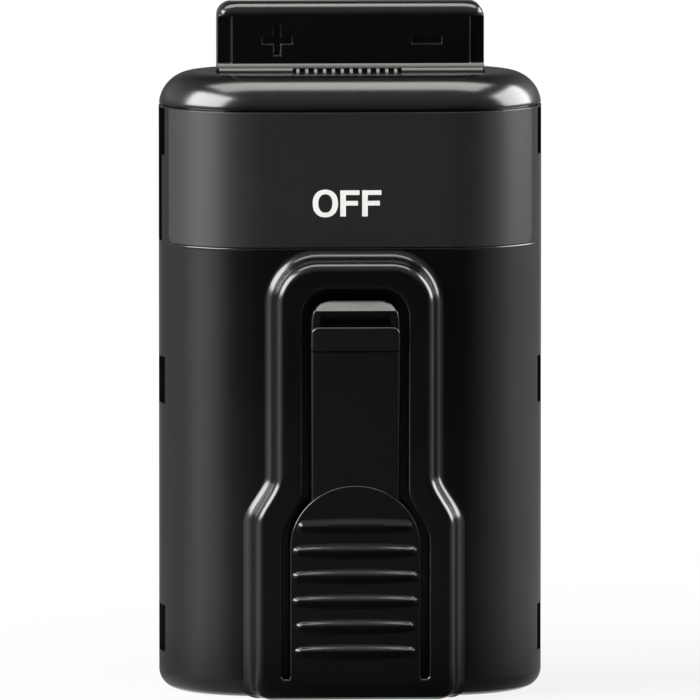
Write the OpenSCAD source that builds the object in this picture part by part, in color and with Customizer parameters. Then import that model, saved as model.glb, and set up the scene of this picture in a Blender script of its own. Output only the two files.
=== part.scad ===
// Slide-in battery pack for a cordless tool. An oval two-part housing carries a domed cap
// with a terminal head, and a sprung latch in a raised surround on its front face.
// All sizes are in millimetres. The pack stands on Z = 0 with the latch towards -Y, and
// the origin is the middle of the footprint.

/* [Housing] */
// Width of the oval body
body_w = 50; // [47:0.5:58]
// Depth of the oval body, without the latch surround
body_d = 27; // [26:0.5:32]
// Wall thickness of the two shells
wall = 2; // [1.6:0.1:2.4]
// Thickness of the floor of the shells
floor_t = 2; // [1.6:0.1:3]
// Rounding of the bottom edge
foot_r = 2.5; // [1:0.1:3.5]
// Height of a side notch
notch_h = 6.1; // [4:0.1:8]
// Height of the lowest notch above the base
notch_foot = 5.1; // [4:0.1:10]
// Reach of a notch in front of the split between the shells
notch_reach = 4.2; // [2.5:0.1:5]
// Strip of wall between the upper notch and the seam
notch_strip = 0.2; // [0.1:0.05:0.6]
// Thickness of a snap tab, behind which the rest of the wall shows as a recess
tab_t = 1; // [0.6:0.1:1.4]
// Reach of the long recess under the upper left notch, in front of the split
recess_reach = 3; // [1.5:0.1:3.8]
// Depth of the long recess
recess_depth = 0.8; // [0.4:0.1:1.2]

/* [Cap] */
// Height of the cap above its seam
cap_h = 4.4; // [3.8:0.1:5]
// Thickness of the top of the cap
cap_t = 2; // [1.6:0.1:2.4]
// Rounding of the upper edge
dome_r = 5; // [4:0.1:6]
// Depth of the skirt inside the shells
skirt_h = 2.5; // [1.5:0.1:2.6]
// Thickness of the skirt
skirt_t = 1.2; // [0.8:0.1:1.6]
// Width of the groove along the seam
seam_gap = 0.3; // [0.1:0.05:0.5]
// Depth of the groove along the seam
seam_depth = 0.5; // [0.2:0.05:0.8]

/* [Terminal head] */
// Width of the head
head_w = 34.8; // [32:0.1:38]
// Depth of the head
head_d = 5.8; // [5:0.1:7]
// Height of the head above the cap
head_h = 9.1; // [8:0.1:12]
// Rounding of the upper corners
head_r = 2; // [1:0.1:3]
// Rounding of the upper front and rear edges
head_edge = 1; // [0.4:0.1:1.4]
// Reach of the inner flange beyond the head
flange = 1.6; // [1:0.1:2]
// Thickness of the inner flange
flange_t = 1.4; // [1:0.1:1.6]
// Height of the thicker base of the head above the cap
base_h = 1.1; // [0.8:0.1:2]
// Reach of the base in front of the head
base_reach = 0.5; // [0.3:0.05:0.8]
// Rounding of the upper front edge of the base
base_r = 0.4; // [0.1:0.05:0.5]
// Border of the sunk front panel at the sides and the top
panel_border = 1.8; // [1.2:0.1:2.6]
// Depth of the front panel
panel_depth = 0.4; // [0.2:0.05:0.6]
// Distance between the middles of the two contacts
contact_pitch = 20; // [18:0.1:22]
// Width of a contact blade
contact_w = 6; // [4:0.1:7]
// Thickness of a contact blade
contact_t = 0.6; // [0.4:0.05:0.8]
// Depth of a blade behind the rear face of the head
contact_sunk = 0.8; // [0.4:0.1:1.2]
// Height of the head below a contact window
contact_sill = 0.8; // [0.6:0.1:1.6]
// Height of the head above a contact window
contact_lintel = 1.6; // [1.4:0.1:2.4]
// Space above a blade in its window
contact_space = 0.4; // [0.2:0.05:0.8]
// Length of the soldered foot of a contact
contact_foot = 3; // [2:0.1:4]

/* [Latch surround] */
// Height of the raised face above the body
boss_h = 4.2; // [3.6:0.1:5]
// Width of the raised face at the neck
boss_neck_w = 18.8; // [17.6:0.1:19.4]
// Width of the raised face at the finger pad
boss_wide_w = 24.2; // [23.4:0.1:25]
// Height of the upper edge of the raised face
boss_top = 56.1; // [54:0.1:56.6]
// Rounding of the upper corners of the raised face
boss_r = 4.6; // [3:0.1:6]
// Width of the sloped side of the surround
boss_slope = 2.6; // [2.4:0.1:3]
// Rounding of the side of the surround, at its foot and at the edge of the raised face
boss_fillet = 1.2; // [0.6:0.1:1.2]
// Height at which the surround starts to narrow
boss_flare_z = 23; // [21:0.1:25]
// Length over which it narrows
boss_flare = 5.4; // [4:0.1:7]
// Rounding of the lower edge of the raised face
boss_foot = 0.8; // [0.3:0.1:1.2]
// Width of the raised face between the latch slot and the edge
rim_w = 2.5; // [2.2:0.1:2.8]
// Height of the raised face above the latch slot
rim_top = 2.4; // [2.2:0.1:3.4]
// Rounding of the upper corners of the latch slot
slot_r = 3.5; // [2:0.1:4]
// Height of the lower end of the latch slot
slot_foot = 2.95; // [2.4:0.05:3.4]
// Rounding of the lower ends of the latch slot
slot_end_r = 0.5; // [0.2:0.05:0.7]

/* [Latch] */
// Gap between the latch and the slot at the sides
slot_gap = 1.1; // [0.8:0.05:1.4]
// Gap between the tip of the latch and the slot
tip_gap = 1.4; // [1:0.1:2]
// Free space behind the latch
latch_room = 2; // [1.9:0.05:2.2]
// Depth of the neck of the latch below the raised face
neck_sunk = 0.5; // [0.3:0.05:0.7]
// Rise of the catch plate above the neck
plate_rise = 0.25; // [0.1:0.05:0.3]
// Height of the catch plate
plate_h = 3; // [2:0.1:4]
// Rounding of the upper corners of the catch plate
plate_r = 1; // [0.5:0.1:1.6]
// Rounding of the corners of the tip
tip_r = 1.8; // [0.8:0.1:2]
// Depth of the slope at the tip
tip_slope = 0.8; // [0.6:0.05:1.2]
// Height of the hook at the tip
hook_h = 1.25; // [1:0.05:1.6]
// Height of the catch pocket under the hook
catch_h = 2.45; // [1.8:0.05:3]
// Width of the catch pocket
catch_w = 9.2; // [7:0.1:9.6]
// Depth of the catch pocket
catch_depth = 1.2; // [0.8:0.05:1.3]
// Depth of the channel that runs across the latch at the pocket
channel_depth = 0.4; // [0.2:0.05:0.6]
// Height of the top of the arched finger pad
arch_top = 28.2; // [26.5:0.1:29]
// Height at which the arch of the finger pad starts
arch_foot = 20.2; // [18:0.1:21]
// Depth of the finger pad below the raised face
pad_sunk = 0.1; // [0:0.05:0.2]
// Height of a grip rib
rib_h = 0.5; // [0.3:0.05:0.7]
// Length of the three middle grip ribs
rib_w = 16.4; // [12:0.1:16.6]
// Length of the other grip ribs
rib_short_w = 15.2; // [10:0.1:15.6]
// Distance between the grip ribs
rib_pitch = 3.3; // [2.6:0.1:3.4]
// Height of the lowest grip rib
rib_foot = 6.7; // [6:0.1:7]
// Radius of the bending root of the latch
root_r = 0.8; // [0.6:0.05:0.9]

/* [Label] */
// Thickness of the label
label_t = 0.12; // [0.08:0.02:0.2]
// Angle between the left end of the label and the side of the body
label_left = 25; // [15:1:40]
// Angle between the right end of the label and the side of the body
label_right = 29; // [15:1:40]
// Rounding of the lower corners of the label
label_r = 1; // [0.4:0.1:2]
// Bare strip between the label and the seam
label_strip = 0.1; // [0.05:0.05:0.4]
// Bare strip between the label and the latch surround
label_gap = 0.2; // [0.1:0.05:0.6]

/* [Cells] */
// Diameter of a bare cell
cell_d = 18.2; // [17:0.1:18.6]
// Length of a cell
cell_len = 65; // [63:0.5:70]
// Space between the sleeves of the two cells
cell_space = 0.6; // [0.4:0.1:1]
// Thickness of a shrink sleeve
sleeve_t = 0.15; // [0.1:0.01:0.2]
// Width of the turned-in lips of a sleeve
sleeve_lip = 1.6; // [1:0.1:2]
// Radius of the raised positive end of a cell
button_r = 5.2; // [4:0.1:5.6]
// Step between the positive end and the shoulder of the can
shoulder = 0.7; // [0.6:0.05:1]
// Sloped edge at both ends of a can
can_edge = 0.4; // [0.2:0.05:0.6]
// Depth of the crimp groove
crimp_depth = 0.7; // [0.3:0.05:1]
// Height of the crimp groove
crimp_h = 1.8; // [1.2:0.1:2.4]
// Distance of the crimp groove from the shoulder
crimp_drop = 2.2; // [1.5:0.1:4]
// Thickness of an insulating washer
washer_t = 0.3; // [0.2:0.05:0.35]

/* [Inner parts] */
// Thickness of the foam pad under the lower cradle
pad_t = 1; // [0.6:0.1:2]
// Thickness of the floor of the lower cradle
cradle_floor = 1.4; // [1:0.1:2]
// Height of the cell sockets in both cradles
socket_h = 6; // [4:0.5:10]
// Thickness of the plate of the upper cradle
plate_t = 1.5; // [1:0.1:2]
// Height of the board posts on the upper cradle
post_h = 1; // [0.6:0.1:1.5]
// Radius of a board post
post_r = 1.3; // [1.1:0.05:1.5]
// Radius of the locating pin on a board post
pin_r = 0.8; // [0.6:0.05:0.9]
// Rise of a locating pin above the board
pin_rise = 0.4; // [0.2:0.1:0.8]
// Distance of the board posts from the edges of the board
post_edge = 2.4; // [2:0.1:2.8]
// Length of the circuit board
board_l = 38; // [37:0.1:38.5]
// Width of the circuit board
board_w = 16; // [15.5:0.1:16.5]
// Thickness of the circuit board
board_t = 1.6; // [1:0.1:2]
// Rounding of the corners of the circuit board
board_r = 2; // [1:0.1:3]
// Space between the board and the seam of the cap
head_room = 2.7; // [2.6:0.1:4]
// Thickness of the nickel strips
strip_t = 0.2; // [0.1:0.05:0.3]
// Width of the strip that joins the cells
strip_w = 9.6; // [9.4:0.1:10]
// Width of the strips that rise to the board
tab_w = 5; // [3:0.1:5.4]
// Radius of the raised weld spots on the strip that joins the cells
weld_r = 4.2; // [3:0.1:4.6]
// Distance of the rising strips from the middle plane
riser_y = 4.8; // [4.4:0.1:5.2]
// Length of the soldered end of a rising strip
fold_l = 1.6; // [1:0.1:2]
// Distance of the balance lead and the thermistor from the middle plane
valley_y = 4; // [3.9:0.1:4.2]
// Radius of the balance lead
lead_r = 0.6; // [0.4:0.05:0.7]
// Radius of the thermistor bead
bead_r = 0.9; // [0.6:0.05:1]
// Length of the thermistor bead
bead_l = 6; // [4:0.1:8]

/* [Board parts] */
// Width of a switch chip
switch_w = 4.9; // [4:0.1:5.2]
// Depth of a switch chip
switch_d = 3.9; // [3:0.1:4.2]
// Height of a switch chip
switch_h = 1.5; // [1:0.1:1.8]
// Space between the two switch chips
switch_space = 1.1; // [0.6:0.1:1.6]
// Width of the control chip
control_w = 5; // [4:0.1:6]
// Depth of the control chip
control_d = 4.4; // [3:0.1:5]
// Height of the control chip
control_h = 1.2; // [0.8:0.1:1.6]
// Space between the switch chips and the control chip
row_space = 1.2; // [0.6:0.1:1.4]
// Width of the shunt resistor
shunt_w = 3.2; // [2.4:0.1:3.4]
// Length of the shunt resistor
shunt_l = 6.3; // [5:0.1:6.5]
// Height of the shunt resistor
shunt_h = 0.8; // [0.5:0.1:1.2]
// Space between the shunt resistor and the contact beside it
shunt_space = 0.6; // [0.4:0.1:0.8]
// Slope of the upper edges of the chips
chip_slope = 0.2; // [0.1:0.05:0.3]

/* [Clearances] */
// Between pieces that are fitted into each other
fit = 0.1; // [0.05:0.01:0.15]
// Between the bending root of the latch and its seat
run = 0.05; // [0.03:0.01:0.08]
// Between the end of the latch and the bar below it
root_gap = 0.3; // [0.2:0.05:0.4]
// Between the label and the body
glue = 0.02; // [0.01:0.01:0.04]

/* [Hidden] */
$fn = 64;

// Overshoot of cuts, the lap of pieces of one solid, and what counts as lying on the middle plane.
over = 1;
lap = 0.1;
on_middle = 0.001;

// Oval section: two end arcs about these centres, joined by flat sides.
outer_r = body_d / 2;
inner_r = outer_r - wall;
end_x = (body_w - body_d) / 2;
foot_step = 1;
least_foot_r = 0.3;
inner_foot_r = max(least_foot_r, foot_r - foot_step);

// Levels of the inner stack, from the floor to the seam.
cradle_z = floor_t + pad_t;
socket_z = cradle_z + cradle_floor;
cell_z = socket_z + sleeve_t;
cell_top = cell_z + cell_len;
plate_z = cell_top + sleeve_t;
plate_top = plate_z + plate_t;
board_z = plate_top + post_h;
board_top = board_z + board_t;
seam_z = board_top + head_room;
cap_top = seam_z + cap_h;
head_top = cap_top + head_h;
dome_z = cap_top - dome_r;
under_cap = cap_top - cap_t;
flange_z = under_cap - flange_t;
base_top = cap_top + base_h;
window_z = cap_top + contact_sill;
window_top = head_top - contact_lintel;

// Planes across the depth, measured from the split between the shells.
face_y = -outer_r - boss_h;
neck_y = face_y + neck_sunk;
plate_y = neck_y - plate_rise;
pad_y = face_y + pad_sunk;
crest_y = pad_y - rib_h;
latch_back = -outer_r - latch_room;
root_y = (latch_back + pad_y) / 2;
root_z = slot_foot;
contact_y = head_d / 2 - contact_sunk;
base_y = -head_d / 2 - base_reach;
front_reach = -outer_r - crest_y;
mid_y = front_reach / 2;

// Latch slot and latch outlines.
slot_neck = boss_neck_w / 2 - rim_w;
slot_wide = boss_wide_w / 2 - rim_w;
slot_top = boss_top - rim_top;
flare_above_foot = 0.6;
flare_below_top = 0.4;
slot_flare_z = arch_foot + flare_above_foot;
slot_flare = arch_top - flare_below_top - slot_flare_z;
latch_neck = slot_neck - slot_gap;
latch_wide = slot_wide - slot_gap;
tip_z = slot_top - tip_gap;
hook_z = tip_z - hook_h;
catch_z = hook_z - catch_h;
plate_foot = catch_z - plate_h;
latch_foot = root_z + root_gap;
rib_lengths = [rib_short_w, rib_short_w, rib_w, rib_w, rib_w, rib_short_w];

// Section of a grip rib: it is cut off this far inside the pad, with a short upper flank and a
// long lower one, and its crest is eased.
rib_bury = 0.3;
rib_upper = 0.5;
rib_lower = 1.2;
crest_drop = 0.06;
crest_upper = 0.12;
crest_lower = 0.16;

// The surround starts inside the front wall, behind the rounded bottom edge.
boss_bury = 0.3;
rise_bury = 0.05;
// Its lower edge only rounds close to the raised face: the higher the power, the later.
foot_power = 6;

// Side notches, the label and the inner fits.
notch_top = seam_z - notch_strip - notch_h;
notch_levels = [notch_foot, (notch_foot + notch_top) / 2, notch_top];
label_foot = boss_top + boss_slope + label_gap;
label_top = seam_z - label_strip;
notch_angle = asin(notch_reach / outer_r);
recess_angle = asin(recess_reach / outer_r);
behind_angle = 2;
tab_slack = 0.5;
can_r = cell_d / 2;
sleeve_r = can_r + sleeve_t;
socket_r = sleeve_r + fit;
cell_x = sleeve_r + cell_space / 2;
window_margin = 0.3;
window_r = can_r - sleeve_lip - window_margin;
washer_margin = 0.2;
post_x = board_l / 2 - post_edge;
post_y = board_w / 2 - post_edge;

// Steps along a rounding and a flare.
round_steps = 6;
flare_steps = 8;

black_plastic = "#1d1d1e";
grey_plastic = "#3a3b3d";
nickel = "#b9b8b0";

// Points along an arc about [x, y].
function arc(x, y, r, from, to, steps) =
    [for (i = [0:steps]) let (a = from + (to - from) * i / steps) [x + r * cos(a), y + r * sin(a)]];

// A half outline on +X, completed by its mirror image.
function both_sides(half) =
    concat(half, [for (i = [len(half) - 1:-1:0]) if (half[i].x > on_middle) [-half[i].x, half[i].y]]);

// Eases from 0 to 1.
function ease(t) = t * t * (3 - 2 * t);

// Right half of a bottle outline: wide at the foot, narrowing to a neck with a rounded top.
function bottle(neck, wide, top, r, flare_z, flare_l, foot) = concat(
    [[wide, foot]],
    [for (i = [0:flare_steps]) let (t = i / flare_steps)
        [wide + (neck - wide) * ease(t), flare_z + flare_l * t]],
    arc(neck - r, top - r, r, 0, 90, round_steps)
);

// A rectangle with rounded corners about the origin.
function rounded_rectangle(w, h, r) = concat(
    arc(w / 2 - r, h / 2 - r, r, 0, 90, round_steps),
    arc(r - w / 2, h / 2 - r, r, 90, 180, round_steps),
    arc(r - w / 2, r - h / 2, r, 180, 270, round_steps),
    arc(w / 2 - r, r - h / 2, r, 270, 360, round_steps)
);

// Puts what is drawn about the split between the shells where the pack stands.
module placed() {
    translate([0, mid_y, 0]) children();
}

// Carries a [radius, height] profile round the oval: the front half, the rear half or all of it.
module oval(profile, front = true, rear = true) {
    sweep = front && rear ? 180 : 90;
    translate([end_x, 0, 0]) rotate(front ? -90 : 0) rotate_extrude(angle = sweep) polygon(profile);
    translate([-end_x, 0, 0]) rotate(rear ? 90 : 180) rotate_extrude(angle = sweep) polygon(profile);
    if (front) along_x([for (p = profile) [-p.x, p.y]], 2 * end_x);
    if (rear) along_x(profile, 2 * end_x);
}

// Draws a [depth, height] outline along X, centred.
module along_x(outline, length) {
    translate([-length / 2, 0, 0]) rotate([90, 0, 90]) linear_extrude(length) polygon(outline);
}

// Draws an [x, height] outline from one depth to another.
module along_y(outline, from, to) {
    translate([0, to, 0]) rotate([90, 0, 0]) linear_extrude(to - from) polygon(outline);
}

// A block given by its middle in X and its lowest corner in Y and Z.
module block(x, y, z, size) {
    translate([x - size.x / 2, y, z]) cube(size);
}

// A part of the end wall on one side, from an angle in front of the split to one behind it.
module end_wall(side, from_r, to_r, z, h, ahead, behind) {
    translate([side * end_x, 0, z])
        rotate(side > 0 ? -ahead : 180 - behind)
            rotate_extrude(angle = ahead + behind)
                translate([from_r, 0]) square([to_r - from_r, h]);
}

// Outside of the two shells, up to the seam.
function shell_profile() = concat(
    [[0, 0]],
    arc(outer_r - foot_r, foot_r, foot_r, -90, 0, round_steps),
    seam_z > dome_z
        ? arc(outer_r - dome_r, dome_z, dome_r, 0, asin((seam_z - dome_z) / dome_r), 2)
        : [[outer_r, seam_z]],
    [[0, seam_z]]
);

// The space inside the shells, open at the top.
function cavity_profile() = concat(
    [[0, floor_t]],
    arc(inner_r - inner_foot_r, floor_t + inner_foot_r, inner_foot_r, -90, 0, round_steps),
    [[inner_r, seam_z + over], [0, seam_z + over]]
);

// Side of the surround: distances from the edge of the raised face, with their heights. A fillet at
// the foot and a round at the edge are joined by the straight side that touches both.
function side_points() =
    let (
        between = norm([boss_slope, boss_h - 2 * boss_fillet]),
        steep = atan2(boss_h - 2 * boss_fillet, boss_slope) + asin(min(1, 2 * boss_fillet / between))
    )
    concat(
        arc(boss_slope, boss_fillet - rise_bury, boss_fillet, 270, 270 - steep, round_steps),
        arc(0, boss_h - boss_fillet, boss_fillet, 90 - steep, 90, round_steps)
    );

// How far the front wall falls back from its flat middle at a distance from the middle plane.
function fall_back(x) = outer_r - sqrt(outer_r * outer_r - pow(max(0, abs(x) - end_x), 2));

// One ring of the surround: the bottle outline at a height above the front wall, let out by its
// distance from the edge. The share of the rise that is left follows the curve of the wall.
function surround_ring(out, rise) =
    let (
        share = max(0, rise / boss_h),
        half = bottle(boss_neck_w / 2 + out, boss_wide_w / 2 + out, boss_top + out, boss_r + out,
            boss_flare_z, boss_flare, boss_foot * pow(share, foot_power))
    )
    [for (p = both_sides(half)) [p.x, (1 - share) * fall_back(p.x) - outer_r - rise, p.y]];

// The solid surround, from inside the front wall to the raised face. The rings are joined by
// quads, and the two end rings are closed by quads from side to side.
module surround() {
    rings = concat(
        [surround_ring(boss_slope, -foot_r - boss_bury)],
        [for (p = side_points()) surround_ring(p.x, p.y)]
    );
    n = len(rings[0]);
    last = (len(rings) - 1) * n;
    sides = [for (k = [0:len(rings) - 2], i = [0:n - 1])
        [k * n + i, (k + 1) * n + i, (k + 1) * n + (i + 1) % n, k * n + (i + 1) % n]];
    split = [for (f = sides) each [[f[0], f[1], f[2]], [f[0], f[2], f[3]]]];
    back = [for (i = [0:n / 2 - 2]) [i, i + 1, n - 2 - i, n - 1 - i]];
    face = [for (i = [0:n / 2 - 2]) [last + i, last + n - 1 - i, last + n - 2 - i, last + i + 1]];
    polyhedron([for (r = rings) each r], concat(split, back, face));
}

// The slot that the latch moves in, with its floor at the face of the body and its lower ends round.
module latch_slot() {
    end_z = slot_foot + slot_end_r;
    outline = bottle(slot_neck, slot_wide, slot_top, slot_r, slot_flare_z, slot_flare, end_z);
    end = arc(slot_wide - slot_end_r, end_z, slot_end_r, -90, 0, round_steps);
    along_y(both_sides(concat([for (i = [0:round_steps - 1]) end[i]], outline)), face_y - over, -outer_r);
}

module front_shell() {
    seat_l = 2 * (latch_wide + fit);
    color(black_plastic) placed() difference() {
        union() {
            oval(shell_profile(), rear = false);
            surround();
        }
        oval(cavity_profile());
        latch_slot();
        translate([-seat_l / 2, root_y, root_z]) rotate([0, 90, 0]) cylinder(r = root_r + run, h = seat_l);
        for (side = [-1, 1], z = notch_levels)
            end_wall(side, inner_r - over, outer_r + over, z, notch_h, notch_angle, behind_angle);
        end_wall(-1, outer_r - recess_depth, outer_r + over, label_foot, notch_top - label_foot + lap,
            recess_angle, behind_angle);
    }
}

module rear_shell() {
    ahead = notch_angle - tab_slack;
    color(black_plastic) placed() union() {
        difference() {
            oval(shell_profile(), front = false);
            oval(cavity_profile());
        }
        for (side = [-1, 1], z = notch_levels)
            end_wall(side, inner_r, inner_r + tab_t, z + fit, notch_h - 2 * fit, ahead, behind_angle);
    }
}

module top_cap() {
    skirt_r = inner_r - fit;
    groove_z = seam_z + seam_gap;
    start = groove_z > dome_z ? asin((groove_z - dome_z) / dome_r) : 0;
    profile = concat(
        [[0, under_cap], [skirt_r - skirt_t, under_cap], [skirt_r - skirt_t, seam_z - skirt_h]],
        [[skirt_r, seam_z - skirt_h], [skirt_r, seam_z]],
        [[outer_r - seam_depth, seam_z], [outer_r - seam_depth, groove_z]],
        groove_z > dome_z ? [] : [[outer_r, groove_z]],
        arc(outer_r - dome_r, dome_z, dome_r, start, 90, round_steps + 2),
        [[0, cap_top]]
    );
    color(black_plastic) placed() difference() {
        oval(profile);
        block(0, base_y - fit, under_cap - over,
            [head_w + 2 * fit, head_d + base_reach + 2 * fit, cap_t + 2 * over]);
    }
}

// Front outline of the head, with its two upper corners rounded.
function head_front() = both_sides(concat(
    [[head_w / 2, flange_z]],
    arc(head_w / 2 - head_r, head_top - head_r, head_r, 0, 90, round_steps)
));

// Side outline of the head, with its upper edges rounded.
function head_side() = both_sides(concat(
    [[head_d / 2, flange_z]],
    arc(head_d / 2 - head_edge, head_top - head_edge, head_edge, 0, 90, round_steps)
));

// Side outline of the base of the head, with its upper front edge rounded.
function base_side() = concat(
    [[0, flange_z], [0, base_top]],
    arc(base_y + base_r, base_top - base_r, base_r, 90, 180, round_steps),
    [[base_y, flange_z]]
);

module terminal_block() {
    panel_w = head_w - 2 * panel_border;
    panel_h = head_top - panel_border - base_top;
    flange_y = base_y - flange;
    color(black_plastic) placed() difference() {
        union() {
            intersection() {
                along_y(head_front(), -head_d, head_d);
                along_x(head_side(), head_w + 2 * over);
            }
            along_x(base_side(), head_w);
            block(0, flange_y, flange_z, [head_w + 2 * flange, head_d / 2 + flange - flange_y, flange_t]);
        }
        block(0, -head_d / 2 - over, base_top, [panel_w, panel_depth + over, panel_h]);
        for (side = [-1, 1]) {
            block(side * contact_pitch / 2, contact_y - contact_t, window_z,
                [contact_w + 2 * fit, contact_sunk + contact_t + over, window_top - window_z]);
            block(side * contact_pitch / 2, contact_y - contact_t, flange_z - over,
                [contact_w + 2 * fit, contact_t + fit, window_z - flange_z + 2 * over]);
        }
    }
}

// A contact blade in the head, with a foot that is soldered to the board.
module contact(side) {
    x = side * contact_pitch / 2;
    y = contact_y - contact_t;
    color(nickel) placed() union() {
        block(x, y, board_top, [contact_w, contact_t, window_top - contact_space - board_top]);
        block(x, y, board_top, [contact_w, contact_foot, contact_t]);
    }
}

module contact_positive() {
    contact(-1);
}

module contact_negative() {
    contact(1);
}

// Outline of the neck of the latch, with the corners of the tip rounded.
function neck_outline() = both_sides(concat(
    [[latch_neck, latch_foot]],
    arc(latch_neck - tip_r, tip_z - tip_r, tip_r, 0, 90, round_steps)
));

// Outline of the finger pad: straight sides under an arched top.
function pad_outline() = both_sides(concat(
    [[latch_wide, latch_foot]],
    [for (a = [0:90 / (2 * round_steps):90])
        [latch_wide * cos(a), arch_foot + (arch_top - arch_foot) * sin(a)]]
));

// Side view of the neck: flat, sunk to the channel above the catch plate, and sloped at the hook.
function neck_side() = [
    [latch_back, latch_foot], [neck_y, latch_foot], [neck_y, catch_z - plate_r],
    [plate_y + channel_depth, catch_z - plate_r], [plate_y + channel_depth, hook_z], [plate_y, hook_z],
    [plate_y + tip_slope, tip_z], [latch_back, tip_z]
];

// Front and side outlines of the catch plate: rounded upper corners, and a sloped lower edge.
function plate_front() = both_sides(concat(
    [[latch_neck, plate_foot]],
    arc(latch_neck - plate_r, catch_z - plate_r, plate_r, 0, 90, round_steps)
));
function plate_side() = [
    [latch_back, plate_foot], [neck_y, plate_foot], [plate_y, plate_foot + plate_rise],
    [plate_y, catch_z], [latch_back, catch_z]
];

// A grip rib: a thin slice of a large ring that rises out of the pad in the shape of a lens.
module grip_rib(z, length) {
    ring_r = (pow(length / 2, 2) + pow(rib_h, 2)) / (2 * rib_h);
    half_a = asin((length / 2 + lap) / ring_r);
    base = ring_r - rib_h - rib_bury;
    crest = ring_r - crest_drop;
    translate([0, crest_y + ring_r, z])
        rotate(270 - half_a) rotate_extrude(angle = 2 * half_a) polygon([
            [base, rib_upper], [crest, crest_upper], [ring_r, 0], [crest, -crest_lower], [base, -rib_lower]
        ]);
}

module latch() {
    color(black_plastic) placed() difference() {
        union() {
            intersection() {
                along_y(neck_outline(), face_y - over, latch_back);
                along_x(neck_side(), 2 * (latch_neck + over));
            }
            intersection() {
                along_y(plate_front(), face_y - over, latch_back);
                along_x(plate_side(), 2 * (latch_neck + over));
            }
            along_y(pad_outline(), pad_y, latch_back);
            for (i = [0:len(rib_lengths) - 1]) grip_rib(rib_foot + i * rib_pitch, rib_lengths[i]);
            translate([-latch_wide, root_y, root_z])
                rotate([0, 90, 0]) cylinder(r = root_r, h = 2 * latch_wide);
        }
        block(0, face_y - over, catch_z, [catch_w, plate_y + catch_depth - face_y + over, catch_h]);
    }
}

// Outline of what is cut off the front half of the oval at an end of the label, round its lower corner.
function label_trim(angle) =
    let (end_y = -(outer_r + glue) * sin(angle))
    concat(
        arc(end_y - label_r, label_foot + label_r, label_r, -90, 0, round_steps),
        [[end_y, label_top + over], [over, label_top + over], [over, label_foot - over]],
        [[end_y - label_r, label_foot - over]]
    );

// The label, round the upper front of the body.
module label() {
    from_r = outer_r + glue;
    to_r = from_r + label_t;
    section = [[from_r, label_foot], [to_r, label_foot], [to_r, label_top], [from_r, label_top]];
    half_w = body_w / 2 + over;
    color("#2c2c2d") placed() difference() {
        oval(section, rear = false);
        translate([half_w / 2, 0, 0]) along_x(label_trim(label_right), half_w);
        translate([-half_w / 2, 0, 0]) along_x(label_trim(label_left), half_w);
    }
}

// An oval slab that fits the inside of the shells with a margin.
module oval_slab(margin, z, h) {
    r = inner_r - margin;
    oval([[0, z], [r, z], [r, z + h], [0, z + h]]);
}

module foam_pad() {
    color("#4b4a48") placed() oval_slab(inner_foot_r, floor_t, pad_t);
}

module cell_sockets(z, h) {
    for (side = [-1, 1]) translate([side * cell_x, 0, z]) cylinder(r = socket_r, h = h);
}

// Room for the balance lead and the thermistor in the valleys between the cells.
module valley_holes(z, h) {
    translate([0, valley_y, z]) cylinder(r = lead_r + fit, h = h);
    translate([0, -valley_y, z]) cylinder(r = bead_r + fit, h = h);
}

module lower_cradle() {
    color(grey_plastic) placed() difference() {
        oval_slab(inner_foot_r, cradle_z, cradle_floor + socket_h);
        cell_sockets(socket_z, socket_h + over);
        valley_holes(socket_z, socket_h + over);
        block(0, -strip_w / 2 - fit, socket_z - strip_t,
            [2 * (cell_x + strip_w / 2 + fit), strip_w + 2 * fit, strip_t + lap]);
    }
}

module upper_cradle() {
    socket_foot = plate_z - socket_h;
    color(grey_plastic) placed() union() {
        difference() {
            oval_slab(fit, socket_foot, socket_h + plate_t);
            cell_sockets(socket_foot - over, socket_h + over);
            for (side = [-1, 1])
                translate([side * cell_x, 0, plate_z - lap]) cylinder(r = window_r, h = plate_t + over);
            valley_holes(socket_foot - over, socket_h + plate_t + 2 * over);
        }
        for (x = [-post_x, post_x], y = [-post_y, post_y]) translate([x, y, plate_top]) {
            cylinder(r = post_r, h = post_h);
            cylinder(r = pin_r, h = post_h + board_t + pin_rise);
        }
    }
}

// A round cell that stands on its negative end: a can with a crimp groove and a raised positive end.
module cell_can() {
    neck_z = cell_len - shoulder;
    crimp_z = neck_z - crimp_drop - crimp_h;
    crimp_r = can_r - crimp_depth;
    rotate_extrude() polygon([
        [0, 0], [can_r - can_edge, 0], [can_r, can_edge], [can_r, crimp_z],
        [crimp_r, crimp_z + crimp_h / 3], [crimp_r, crimp_z + 2 * crimp_h / 3], [can_r, crimp_z + crimp_h],
        [can_r, neck_z - can_edge], [can_r - can_edge, neck_z], [button_r, neck_z], [button_r, cell_len],
        [0, cell_len]
    ]);
}

// A shrink sleeve round a cell, with a lip turned in at both ends.
module cell_sleeve() {
    lip_r = can_r - sleeve_lip;
    top = cell_len - shoulder + washer_t;
    rotate_extrude() polygon([
        [lip_r, -sleeve_t], [sleeve_r, -sleeve_t], [sleeve_r, top + sleeve_t], [lip_r, top + sleeve_t],
        [lip_r, top], [can_r, top], [can_r, 0], [lip_r, 0]
    ]);
}

// An insulating ring on the shoulder of a cell, under the lip of its sleeve.
module cell_washer() {
    hole_r = button_r + fit;
    translate([0, 0, cell_len - shoulder])
        rotate_extrude() translate([hole_r, 0]) square([can_r - washer_margin - hole_r, washer_t]);
}

// Stands a cell piece on the left with its positive end up, or on the right with it down.
module in_place(side) {
    placed() translate([side * cell_x, 0, side < 0 ? cell_z : cell_top])
        rotate([side < 0 ? 0 : 180, 0, 0]) children();
}

module cell_left() {
    color("#c9c9c4") in_place(-1) cell_can();
}

module cell_right() {
    color("#c9c9c4") in_place(1) cell_can();
}

module sleeve_left() {
    color("#2f6a9c") in_place(-1) cell_sleeve();
}

module sleeve_right() {
    color("#2f6a9c") in_place(1) cell_sleeve();
}

module washer_left() {
    color("#e8e2d2") in_place(-1) cell_washer();
}

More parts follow.
